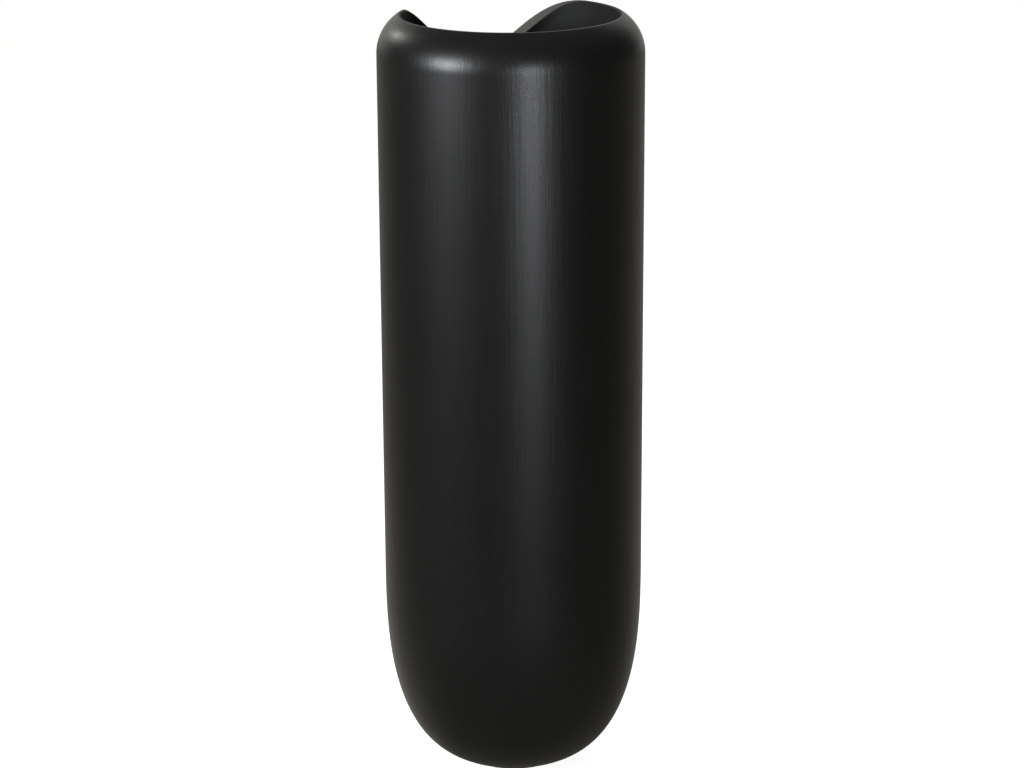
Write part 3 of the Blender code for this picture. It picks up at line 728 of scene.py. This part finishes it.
class SINK_OT_column(bpy.types.Operator):
    """The one-piece black casting, with its scooped rim, service opening and pipe hole"""

    bl_idname = "column_sink.column"
    bl_label = "Column"

    def execute(self, context):
        seat = BODY_R - settings().panel.recess
        tools = pockets(seat - 0.0028, seat + 0.003) + bores(0.0045, -0.01, 0.04, screw_places())
        place_piece("column_shell", combined(casting_mesh(), "DIFFERENCE", joined_tools(tools)))
        return {"FINISHED"}


# ---------------------------------------------------------------- the bowl
class SINK_OT_bowl(bpy.types.Operator):
    """The drop-in bowl with its gasket and the bead of sealant round it"""

    bl_idname = "column_sink.bowl"
    bl_label = "Bowl"

    def execute(self, context):
        radius, low, high = extent("bowl")
        flange_low = extent("bowl_gasket")[2] + GAP
        recess_r, hole_r, recess_z, centre_r, bead_in = 0.0325, 0.0225, 0.7155, 0.0231, 0.1212
        corners = [(hole_r, low, 0.0008), (0.0370, low, 0.0015), (0.0405, 0.7100, 0.002)]
        corners += [*arc(centre_r, 0.8000, 0.0969, -0.0865, 78, 0, 14), (0.1200, flange_low, 0.0008)]
        corners += [(radius, flange_low, 0.0006), (radius, high, 0.0008), (0.1180, high - 0.0020, 0.003)]
        corners += [(0.1152, 0.8152, 0.002), (0.1136, 0.8125, 0.002)]
        corners += [*arc(centre_r, 0.8080, 0.0899, -0.0865, 0, 84, 26)]
        corners += [(recess_r, recess_z, 0.0006), (hole_r, recess_z, 0.0006)]
        turned_piece("bowl", corners, 160)
        ring_piece("bowl_gasket", bead_in, columns=120)
        bead_r, low, high = extent("bowl_seal")
        corners = [(bead_in, low, 0.0002), (bead_r, low, 0.0002), (bead_r, high, 0.0002)]
        for k in np.linspace(0, 1, 7)[1:-1]:
            corners.append((bead_r - (bead_r - bead_in) * k**1.5, low + (high - low) * (1 - k) ** 1.5))
        turned_piece("bowl_seal", corners, 160)
        return {"FINISHED"}


# ---------------------------------------------------------------- the waste and its plug
def threaded(radius, low, high, pitch, depth):
    """A shape for turned(): inside the thread's stretch, r loses depth * (1 + cos(2 pi z / pitch - a)) / 2."""

    def shape(r, z, a):
        on_thread = (np.abs(r - radius) < 1e-5) & (z > low) & (z < high)
        ripple = depth * (1 + np.cos(tau * z / pitch - a)) / 2
        return r - np.where(on_thread, ripple, 0)

    return shape


def stretch(radius, low, high, rows):
    """Corners along a straight bar side, close enough for a thread to show."""
    return [(radius, z, 0) for z in np.linspace(low, high, rows)]


class SINK_OT_waste(bpy.types.Operator):
    """The waste's body through the bowl, with its gasket, washer and back nut"""

    bl_idname = "column_sink.waste"
    bl_label = "Waste"

    def execute(self, context):
        pipes = settings().pipes
        flange_r, tail_z, top = extent("waste_body")
        tail_r, bore, thread_low, thread_high = pipes.thread_radius, pipes.bore_radius, 0.657, 0.690
        flange_low = extent("flange_gasket")[2] + GAP
        corners = [(bore, tail_z, 0.0004), (tail_r, tail_z, 0.0008), *stretch(tail_r, thread_low, thread_high, 140)]
        corners += [(tail_r, flange_low, 0.0003), (flange_r, flange_low, 0.0004), (flange_r, top, 0.0008)]
        corners += [(0.0300, top, 0.0006), (0.0222, 0.7200, 0.002), (0.0175, 0.7150, 0.002), (bore, 0.7130, 0.001)]
        shape = threaded(tail_r, thread_low + 0.0005, thread_high - 0.0005, pipes.thread_pitch, 0.0008)
        arms = [turned_mesh("hub", ring(0.0095, 0.0120, 0.6900, 0.6980, 0.0004), 48)]
        for a in np.arange(3) * tau / 3:
            arm = turned_mesh("arm", bar(0.0016, 0.0112, 0.0185, 0.0), 12, at=(0, 0, 0.694), axis=(cos(a), sin(a), 0))
            arms.append(arm)
        place_piece("waste_body", combined(turned_mesh("waste_body", corners, shape=shape), "UNION", *arms))
        ring_piece("flange_gasket", 0.0235)
        ring_piece("waste_washer", 0.0213, 0.0006)
        self.back_nut(tail_r + GAP)
        return {"FINISHED"}

    def back_nut(self, bore):
        """A hexagon: r = apothem / cos(a) across each flat, taken in by a chamfer at both ends."""
        corner_r, low, high = extent("back_nut")
        apothem = corner_r * cos(pi / 6)

        def hexagon(r, z, a):
            flat = apothem / np.cos((a - pi / 3) % (pi / 3) - pi / 6)
            chamfer = corner_r - 0.0004 - 1.7 * np.maximum(0.0015 - np.minimum(z - low, high - z), 0)
            return np.where(r > apothem * 0.9, np.minimum(flat, chamfer), r)

        sides = stretch(corner_r, low, high, 13)
        turned_piece("back_nut", [(bore, low, 0.0006), *sides, (bore, high, 0.0006)], 192, shape=hexagon)


def tube_along(path, normal, radius, sides=10):
    """Carries a circle along a path: point (i, j) is path i + radius (N cos b + B sin b), and both ends close
    to a pole."""
    tangent = np.gradient(path, axis=0)
    side = np.cross(tangent, normal)
    side /= np.linalg.norm(side, axis=1)[:, None]
    out = np.cross(side, tangent / np.linalg.norm(tangent, axis=1)[:, None])
    b = (np.arange(sides) * tau / sides)[None, :, None]
    scale = np.ones(len(path))
    scale[[0, -1]], scale[[1, -2]] = 0, 0.8
    return path[:, None] + (np.cos(b) * out[:, None] + np.sin(b) * side[:, None]) * (radius * scale)[:, None, None]


class SINK_OT_plug(bpy.types.Operator):
    """The push-open plug: cap, seal, stem, spring and the cartridge that guides it"""

    bl_idname = "column_sink.plug"
    bl_label = "Plug"

    def execute(self, context):
        cap_r, low, _ = extent("plug_cap")
        stem_r, neck_r = 0.0040, 0.0043
        corners = [(neck_r, low, 0.0002), (cap_r - 0.0007, low, 0.0005), (cap_r, low + 0.0008, 0.0005)]
        corners += [(cap_r, low + 0.0028, 0.0012), (0.0304, low + 0.00352, 0.0004)]
        corners += [(r, low + 0.0058 - 0.0022 * (r / 0.0300) ** 2.4, 0) for r in np.linspace(0.0298, 0, 22)]
        turned_piece("plug_cap", [*corners, (0, low + 0.0028), (neck_r, low + 0.0028, 0.0002)], 144)
        _, low, high = extent("plug_seal")
        corners = [(neck_r, low, 0.0003), (0.0213, low, 0.0008), (0.0285, high, 0.0003), (neck_r, high, 0.0003)]
        turned_piece("plug_seal", corners)
        piston_r, low, high = extent("plug_stem")
        corners = [(0, low), (piston_r, low, 0.0006), (piston_r, low + 0.012, 0.0006), (stem_r, low + 0.012, 0.0005)]
        turned_piece("plug_stem", [*corners, (stem_r, high, 0.0004), (0, high)], 64)
        collar_r, low, high = extent("plug_cartridge")
        outer, bore, neck = 0.0092, 0.0072, 0.0046
        corners = [(0, low), (outer, low, 0.0008), (outer, high - 0.004, 0.0002), (collar_r, high - 0.004, 0.0003)]
        corners += [(collar_r, high, 0.0006), (neck, high, 0.0004), (neck, high - 0.002, 0.0002)]
        corners += [(bore, high - 0.002, 0.0002), (bore, low + 0.0025, 0.0004), (0, low + 0.0025)]
        turned_piece("plug_cartridge", corners, 64)
        self.spring()
        return {"FINISHED"}

    def spring(self):
        """A helix x = R cos a, y = R sin a, whose end turns lie flat: z rises with the share of the turns."""
        wire, coil_r, turns = 0.0008, 0.0052, 7.0
        _, low, high = extent("plug_spring")
        a = np.linspace(0, tau * turns, 300)
        share = np.clip((a / tau - 0.7) / (turns - 1.4), 0, 1)
        z = low + wire + (high - low - 2 * wire) * share + 0.0002 * np.sin(a)
        path = np.stack([coil_r * np.cos(a), coil_r * np.sin(a), np.clip(z, low + wire, high - wire)], axis=-1)
        normal = np.stack([np.cos(a), np.sin(a), 0 * a], axis=-1)
        spring = place_piece("plug_spring", Skin().add(tube_along(path, normal, wire)).mesh("plug_spring"))
        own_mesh(spring)


# ---------------------------------------------------------------- the trap
def ribbed(ribs, depth, least, low, high, end=0.002):
    """A shape for turned(): past the least radius, r loses depth * |sin(ribs a / 2)|^0.7, fading out at the ends."""

    def shape(r, z, a):
        fade = np.clip(np.minimum(z - low, high - z) / end, 0, 1)
        groove = depth * np.abs(np.sin(a * ribs / 2)) ** 0.7 * (0.25 + 0.75 * fade)
        return np.where(r > least, r - groove, r)

    return shape


def union_nut(name, at, axis, length):
    """A moulded union nut: a ribbed grip, a bore over the thread and a lip round the pipe."""
    pipes, grip_r = settings().pipes, extent("trap_inlet_nut")[0]
    thread, bore, collar, lip_z = pipes.thread_radius + GAP, pipes.bore_radius, grip_r - 0.0012, length - 0.0035
    corners = [(thread, 0, 0.0005), (collar, 0, 0.0008), *stretch(grip_r, 0.0012, length - 0.0030, 9)]
    corners += [(collar, length - 0.0015, 0.001), (collar - 0.002, length, 0.001), (bore, length, 0.0006)]
    corners += [(bore, lip_z, 0.0003), (thread, lip_z, 0.0003)]
    shape = ribbed(24, 0.0012, grip_r - 0.0004, 0.0012, length - 0.0030)
    turned_piece(name, corners, 192, at=at, axis=axis, shape=shape)


def tapered_seal(name, at, axis):
    inner = settings().pipes.pipe_radius + GAP
    corners = [(inner, GAP, 0.0002), (0.0185, GAP, 0.0003), (0.0203, 0.0030, 0.0004)]
    turned_piece(name, [*corners, (0.0203, 0.0055, 0.0003), (inner, 0.0055, 0.0003)], at=at, axis=axis)


class SINK_OT_trap(bpy.types.Operator):
    """The bottle trap under the waste: its inlet, body, seals and union nuts"""

    bl_idname = "column_sink.trap"
    bl_label = "Trap"

    def execute(self, context):
        pipe_r = settings().pipes.pipe_radius
        bore = pipe_r - settings().pipes.pipe_wall
        _, low, high = extent("trap_inlet_nut")
        union_nut("trap_inlet_nut", (0, 0, high), (0, 0, -1), high - low)
        flange_r, low, high = extent("trap_inlet_tube")
        corners = [(bore, low, 0.0004), (pipe_r, low, 0.0006), (pipe_r, high - 0.002, 0.0008)]
        corners += [(flange_r, high - 0.002, 0.0004), (flange_r, high, 0.0004), (bore, high, 0.0004)]
        turned_piece("trap_inlet_tube", corners)
        ring_piece("trap_inlet_washer", 0.0150)
        self.body()
        tapered_seal("trap_top_seal", (0, 0, extent("trap_body")[2]), (0, 0, 1))
        _, low, high = extent("trap_top_nut")
        union_nut("trap_top_nut", (0, 0, low), (0, 0, 1), high - low)
        return {"FINISHED"}

    def body(self):
        """The bottle's shoulder and threaded mouth, joined to the spigot at the back."""
        pipes = settings().pipes
        thread_r, low, top = extent("trap_body")
        inner, neck, bore, high = TRAP_R - TRAP_WALL, 0.0205, pipes.bore_radius, top - 0.0140
        corners = [(inner, low, 0.0004), (thread_r, low, 0.0006), *stretch(thread_r, low + 0.001, low + 0.013, 42)]
        corners += [(thread_r, low + 0.014, 0.0006), (TRAP_R, low + 0.016, 0.0008), (TRAP_R, high, 0.009)]
        corners += [(neck, high, 0.0012), (neck, top, 0.0006), (bore, top, 0.0005)]
        corners += [(bore, high - TRAP_WALL, 0.001), (inner, high - TRAP_WALL, 0.006)]
        shape = threaded(thread_r, low + 0.0012, low + 0.0128, 0.004, 0.0011)
        body = turned_mesh("trap_body", corners, 144, shape=shape)
        back = {"at": (0, 0, pipes.outlet_height), "axis": BACK}
        root = [(0, 0.0262), (0.0226, 0.0262, 0), (0.0222, 0.0300, 0.0015), (neck, 0.0318, 0.001)]
        spigot = turned_mesh("spigot", [*root, (neck, 0.0500, 0.0006), (0, 0.0500)], **back)
        bored = turned_mesh("bore", bar(bore, 0.0190, 0.0600, 0), **back)
        place_piece("trap_body", combined(combined(body, "UNION", spigot), "DIFFERENCE", bored), sharp=32)


class SINK_OT_cup(bpy.types.Operator):
    """The trap's clean-out cup, its seal and the ring nut that holds it"""

    bl_idname = "column_sink.cup"
    bl_label = "Clean-out Cup"

    def execute(self, context):
        flange_r, low, high = extent("trap_cup")
        inner = TRAP_R - TRAP_WALL
        corners = [(0, low), (0.015, low, 0.002), (0.018, low + 0.0012, 0.001), (TRAP_R, low + 0.0105, 0.009)]
        corners += [(TRAP_R, high - 0.004, 0.0006), (flange_r, high - 0.004, 0.0005), (flange_r, high, 0.0006)]
        corners += [(inner, high, 0.0005), (inner, low + 0.0125, 0.008), (0.0170, low + 0.0030, 0.002)]
        turned_piece("trap_cup", [*corners, (0, low + 0.0028)], 144)
        ring_piece("cup_seal", 0.0292, 0.0008)
        grip_r, low, high = extent("cup_nut")
        lip_bore, thread_bore, collar, lip_z = TRAP_R + GAP, flange_r + GAP, 0.0372, low + 0.0045
        corners = [(lip_bore, low, 0.0008), (collar, low, 0.001), *stretch(grip_r, low + 0.003, high - 0.006, 11)]
        corners += [(collar, high - 0.0035, 0.001), (collar, high, 0.0008), (thread_bore, high, 0.0005)]
        corners += [(thread_bore, lip_z, 0.0004), (lip_bore, lip_z, 0.0004)]
        shape = ribbed(16, 0.0026, collar + 0.0006, low + 0.003, high - 0.006, 0.003)
        turned_piece("cup_nut", corners, 256, shape=shape)
        return {"FINISHED"}


# ---------------------------------------------------------------- the outlet to the wall
class SINK_OT_outlet(bpy.types.Operator):
    """The pipe to the wall, with its union nut, seal, grommet and rosette"""

    bl_idname = "column_sink.outlet"
    bl_label = "Wall Outlet"

    def execute(self, context):
        pipes = settings().pipes
        height, inner = pipes.outlet_height, pipes.pipe_radius + GAP
        back = {"at": (0, 0, height), "axis": BACK}
        _, near, far = extent("outlet_nut", "y")
        union_nut("outlet_nut", (0, near, height), BACK, far - near)
        tapered_seal("outlet_seal", (0, extent("outlet_seal", "y")[1] - GAP, height), BACK)
        tube = ring(pipes.pipe_radius - pipes.pipe_wall, pipes.pipe_radius, *extent("outlet_tube", "y")[1:], 0.0004)
        turned_piece("outlet_tube", tube, 128, **back)
        flange_r, near, far = extent("pipe_grommet", "y")
        wall_out, groove = BODY_R + GAP, PIPE_HOLE_R - GAP
        corners = [(inner, near, 0.0006), (flange_r, near, 0.0008), (flange_r, near + 0.003, 0.0006)]
        corners += [(groove, near + 0.003, 0.0003), (groove, wall_out, 0.0003), (flange_r, wall_out, 0.0004)]
        corners += [(flange_r - 0.0006, wall_out + 0.0022, 0.0014), (inner + 0.002, far, 0.0012)]
        turned_piece("pipe_grommet", [*corners, (inner, far, 0.0006)], 128, **back)
        edge_r, near, far = extent("wall_rosette", "y")
        corners = [(inner, near, 0.0005), (0.0206, near, 0.0006)]
        for k in np.linspace(0, 1, 14):  # the bell flares faster as it nears the wall
            corners.append((0.0212 + (edge_r - 0.0218) * k**1.9, near + 0.0006 + (far - near - 0.0020) * k**0.75, 0))
        corners += [(edge_r, far - 0.0010, 0.0006), (edge_r, far, 0.0003), (inner, far, 0.0003)]
        turned_piece("wall_rosette", corners, 144, **back)
        return {"FINISHED"}


# ---------------------------------------------------------------- the service panel
def panel_outline(p, count=360):
    """The panel's edge (x, z): a rounded rectangle with a round bite in its lower side, at even steps along it."""
    low, high, corner = p.low + p.joint_gap, p.high - p.joint_gap, p.corner - p.joint_gap
    x, mouth_end = p.half_width - p.joint_gap - corner, [p.notch + 0.0006, low]
    mouth = arc(0, p.low, p.notch, p.notch, 172, 8, 26)
    mouth = mouth[mouth[:, 1] > low + 0.0004]
    centres = ((x, low + corner), (x, high - corner), (-x, high - corner), (-x, low + corner))
    turns = [arc(*centre, corner, corner, 90 * k - 90, 90 * k, 12) for k, centre in enumerate(centres)]
    start = [[-mouth_end[0], low]]
    loop = np.concatenate([start, mouth, [mouth_end], *turns, start])
    steps = np.concatenate([[0], np.cumsum(np.linalg.norm(np.diff(loop, axis=0), axis=1))])
    at = np.linspace(0, steps[-1], count, endpoint=False)
    return np.stack([np.interp(at, steps, loop[:, k]) for k in (0, 1)], axis=-1)


def panel_mesh():
    """A curved plate. Rings of its outline shrink towards an upright line in its middle on both faces, and an
    eased edge joins them: the ring at share k is outline (1 - k) + k * (0, z held between the line's ends)."""
    p = settings().panel
    edge = panel_outline(p)
    ahead = np.roll(edge, -1, axis=0) - np.roll(edge, 1, axis=0)
    ahead /= np.linalg.norm(ahead, axis=1)[:, None]
    inward = np.stack([-ahead[:, 1], ahead[:, 0]], axis=-1)
    inner_r, line_end = BODY_R - p.thickness, 0.07
    line = np.stack([0 * edge[:, 0], np.clip(edge[:, 1], p.low + line_end, p.high - line_end)], axis=-1)
    shares = np.linspace(0, 1, 30)[1:] ** 1.25

    def face(radius, shares):
        return [on_round((edge + inward * 0.0008) * (1 - k) + line * k, radius) for k in shares]

    rim = eased_step((0, BODY_R), (0.004, BODY_R), (0, inner_r), 0.0008)
    rim += eased_step((0, inner_r), (0, BODY_R), (0.004, inner_r), 0.0006)
    sides = [on_round(edge + inward * inset, radius) for inset, radius in rim]
    return Skin().add(np.stack(face(BODY_R, shares[::-1]) + sides + face(inner_r, shares))).mesh("access_panel")


class SINK_OT_panel(bpy.types.Operator):
    """The service panel with its magnets, and their keepers in the casting"""

    bl_idname = "column_sink.panel"
    bl_label = "Service Panel"

    def execute(self, context):
        p = settings().panel
        inner_r, seat = BODY_R - p.thickness, BODY_R - p.recess
        tools = joined_tools(pockets(inner_r - 0.004, inner_r + 0.0030, 0))
        place_piece("access_panel", combined(panel_mesh(), "DIFFERENCE", tools), sharp=35)
        magnet = bar(p.magnet_radius, inner_r + 0.0001, inner_r + 0.0027, 0.0005)
        keeper = bar(p.magnet_radius, seat - 0.0025, seat - GAP, 0.0004)
        for k, (at, out) in enumerate(magnet_frames(), 1):
            turned_piece(f"panel_magnet_{k}", magnet, 48, at=at, axis=out)
            turned_piece(f"panel_keeper_{k}", keeper, 48, at=at, axis=out)
        return {"FINISHED"}


# ---------------------------------------------------------------- the foot
class SINK_OT_foot(bpy.types.Operator):
    """The steel plate and rubber mat under the casting, and the screws that hold it down"""

    bl_idname = "column_sink.foot"
    bl_label = "Floor Fixing"

    def execute(self, context):
        sink = [(0, -0.01), (0.003, -0.01), (0.003, 0.0040), (0.0063, 0.0073), (0.0063, 0.02), (0, 0.02)]
        tools = [turned_mesh("anchor", sink, 32, at=at) for at in screw_places(0.5)]
        tools += bores(0.0043, -0.01, 0.02, screw_places(), 0)
        plate = turned_mesh("plate", bar(*extent("floor_plate"), 0.0006), 128)
        place_piece("floor_plate", combined(plate, "DIFFERENCE", joined_tools(tools)))
        mat = turned_mesh("mat", bar(*extent("floor_mat"), 0.0004), 128)
        tools = bores(0.003, -0.01, 0.02, screw_places(0.5), 0)
        place_piece("floor_mat", combined(mat, "DIFFERENCE", joined_tools(tools)))
        for k, at in enumerate(screw_places(), 1):
            _, low, high = extent(f"hold_down_washer_{k}")
            turned_piece(f"hold_down_washer_{k}", ring(0.0043, 0.008, low, high), 48, at=at)
            self.screw(f"hold_down_screw_{k}", at, high + GAP)
        return {"FINISHED"}

    def screw(self, name, at, seat):
        """A cap screw: a knurled round head with a hexagon socket, on a threaded shank."""
        tip = extent(name)[1]
        head_r, shank_r, socket_r, top = 0.0065, 0.0040, 0.0034, seat + 0.008
        corners = [(0, tip), (shank_r - 0.0006, tip, 0.0003), *stretch(shank_r, tip + 0.0008, seat - 0.0012, 60)]
        corners += [(shank_r, seat, 0.0002), (head_r, seat, 0.0004), *stretch(head_r, seat + 0.0008, top - 0.0014, 5)]
        corners += [(head_r - 0.0002, top, 0.0007), (socket_r, top, 0.0003), (socket_r, top - 0.004, 0)]
        thread = threaded(shank_r, tip + 0.001, seat - 0.0015, 0.00125, 0.0004)

        def shape(r, z, a):
            r = thread(r, z, a)
            grip = (r > head_r - 0.00001) & (z > seat + 0.0006) & (z < top - 0.0012)
            r = r - np.where(grip, 0.0003 * np.abs(np.sin(a * 18)), 0)
            socket = (np.abs(r - socket_r) < 0.0005) & (z > top - 0.0045) & (r < shank_r - 0.0004)
            return np.where(socket, socket_r * cos(pi / 6) / np.cos(a % (pi / 3) - pi / 6), r)

        turned_piece(name, [*corners, (0, top - 0.004)], 72, at=at, shape=shape)


# ---------------------------------------------------------------- the stage
COOL, PLAIN = (0.955, 0.965, 1.0), (1.0, 0.99, 0.975)
SOFTBOXES = (
    # name, azimuth, height of its middle, width, height, radiance, colour
    ("left softbox", -71, 1.29, 0.94, 0.70, 28.0, COOL),
    ("front softbox", -1, 0.80, 0.44, 1.06, 15.0, COOL),
    ("small back light", -148, 1.82, 0.34, 0.32, 19.5, PLAIN),
    ("back left card", -170, 1.55, 1.90, 1.70, 0.62, PLAIN),
    ("back right card", 145, 1.55, 1.90, 1.90, 0.53, PLAIN),
)
SOFTBOX_DISTANCE = 2.4


class SINK_OT_stage(bpy.types.Operator):
    """The pale studio floor, the soft lights, the grey surroundings and the camera"""

    bl_idname = "column_sink.stage"
    bl_label = "Studio"

    def execute(self, context):
        stage = settings().stage
        self.floor(stage)
        for softbox in SOFTBOXES:
            self.softbox(*softbox)
        self.surroundings(stage)
        self.camera(stage)
        context.scene.view_settings.view_transform = "Standard"
        return {"FINISHED"}

    def floor(self, stage):
        """A wide sheet. It is overexposed to white where the camera sees it. In reflections it is pale grey, a
        painted glow that stands in for the softboxes' light on the floor: a broad glow centred on azimuth 160, and a
        smaller one near the foot, centred on azimuth -150."""
        mesh = bpy.data.meshes.new("studio_floor")
        half, level = 14.0, -0.0004
        corners = [(x * half, y * half, level) for x, y in ((-1, -1), (1, -1), (1, 1), (-1, 1))]
        mesh.from_pydata(corners, [], [(0, 1, 2, 3)])
        s = Shader(stage.floor, 0.9)
        s.material.name = "studio_floor"
        seen = s.node("LightPath", output="Is Camera Ray")
        away = s.node("VectorMath", {"operation": "LENGTH"}, "Value", Vector=s.object_place)
        x, y = s.along("X"), s.along("Y")
        behind = ((0.94 * y + 0.34 * x) / away).clamped() ** 2 * 1.2 + 0.15
        back_left = ((0.87 * y - 0.5 * x) / away).clamped() ** 2
        # painted light: the floor itself emits this glow, brighter behind and near the foot, where the softboxes
        # would light it
        painted_glow = behind * (0.37 / (1 + (away / 1.8) ** 2) + ((away - 1.4) / 1.6).clamped() * 0.16)
        painted_glow = painted_glow + (0.05 + back_left * 0.38) / (1 + (away / 0.42) ** 2)
        s.set(
            Base_Color=s.mixed(seen, (0, 0, 0, 1), (*stage.floor, 1)),
            Emission_Color=s.mixed(seen, (1, 0.98, 0.93, 1), (1, 1, 1, 1)),
            Emission_Strength=seen * 0.86 + (1 - seen) * (painted_glow + 0.05),
        )
        mesh.materials.append(s.material)
        linked("studio_floor", mesh)

    def softbox(self, name, azimuth, middle, width, height, radiance, tint):
        """An upright area light that faces the axis: azimuth 0 is in front, minus is to the left."""
        a = radians(azimuth)
        light = bpy.data.lights.new(name, "AREA")
        light.shape, light.size, light.size_y = "RECTANGLE", width, height
        light.energy, light.color = radiance * pi * width * height, tint
        lamp = linked(name, light)
        lamp.location = SOFTBOX_DISTANCE * sin(a), -SOFTBOX_DISTANCE * cos(a), middle
        lamp.rotation_euler = (pi / 2, 0, a)
        lamp.visible_camera = False

    def surroundings(self, stage):
        """A dim grey room for the reflections, three times lighter overhead, and plain white behind the sink."""
        world = bpy.context.scene.world = bpy.data.worlds.new("studio")
        world.use_nodes = True
        nodes, links = world.node_tree.nodes, world.node_tree.links
        place, split, seen = (nodes.new("ShaderNode" + kind) for kind in ("TexCoord", "SeparateXYZ", "LightPath"))
        overhead, strength = nodes.new("ShaderNodeMapRange"), nodes.new("ShaderNodeMapRange")
        reach = {"From Min": 0.35, "From Max": 0.95, "To Min": stage.surroundings, "To Max": stage.surroundings * 3}
        for name, value in reach.items():
            overhead.inputs[name].default_value = value
        links.new(place.outputs["Generated"], split.inputs[0])
        links.new(split.outputs["Z"], overhead.inputs["Value"])
        links.new(seen.outputs["Is Camera Ray"], strength.inputs["Value"])
        links.new(overhead.outputs[0], strength.inputs["To Min"])
        links.new(strength.outputs[0], nodes["Background"].inputs["Strength"])
        nodes["Background"].inputs["Color"].default_value = (1, 1, 1, 1)

    def camera(self, stage):
        azimuth, pitch, roll = (radians(x) for x in (stage.camera_azimuth, stage.camera_pitch, stage.camera_roll))
        out, right = Vector((sin(azimuth), -cos(azimuth), 0)), Vector((cos(azimuth), sin(azimuth), 0))
        ahead = -out * cos(pitch) - Vector((0, 0, sin(pitch)))
        up = right.cross(ahead)
        across, over = right * cos(roll) + up * sin(roll), up * cos(roll) - right * sin(roll)
        data = bpy.data.cameras.new("camera")
        data.sensor_width, data.lens, data.shift_x = 36.0, stage.lens, -0.0004
        camera = bpy.context.scene.camera = linked("camera", data)
        place = out * stage.camera_distance + Vector((0, 0, stage.camera_height))
        camera.matrix_world = Matrix.Translation(place) @ Matrix((across, over, -ahead)).transposed().to_4x4()


# ---------------------------------------------------------------- the add-on
PIECES = (
    SINK_OT_column, SINK_OT_bowl, SINK_OT_waste, SINK_OT_plug, SINK_OT_trap, SINK_OT_cup, SINK_OT_outlet,
    SINK_OT_panel, SINK_OT_foot, SINK_OT_stage,
)


class SINK_PT_sidebar(bpy.types.Panel):
    """Buttons for each group of pieces, with the sizes and finishes they read"""

    bl_idname = "SINK_PT_sidebar"
    bl_label = "Column Sink"
    bl_space_type = "VIEW_3D"
    bl_region_type = "UI"
    bl_category = "Column Sink"

    def draw(self, context):
        for part in ("column", "panel", "pipes", "finishes", "stage"):
            group, box = getattr(settings(), part), self.layout.box()
            for name in group.bl_rna.properties.keys():
                if name not in ("rna_type", "name"):
                    box.prop(group, name)
        for operator in PIECES:
            self.layout.operator(operator.bl_idname)


CLASSES = (ColumnSizes, PanelSizes, PipeSizes, Finishes, StageSettings, SinkSettings, *PIECES, SINK_PT_sidebar)


def register():
    for cls in CLASSES:
        bpy.utils.register_class(cls)
    bpy.types.Scene.column_sink = PointerProperty(type=SinkSettings)


def unregister():
    del bpy.types.Scene.column_sink
    for cls in reversed(CLASSES):
        bpy.utils.unregister_class(cls)


def main():
    register()
    for operator in PIECES:
        group, name = operator.bl_idname.split(".")
        getattr(getattr(bpy.ops, group), name)()


if __name__ == "__main__":
    main()
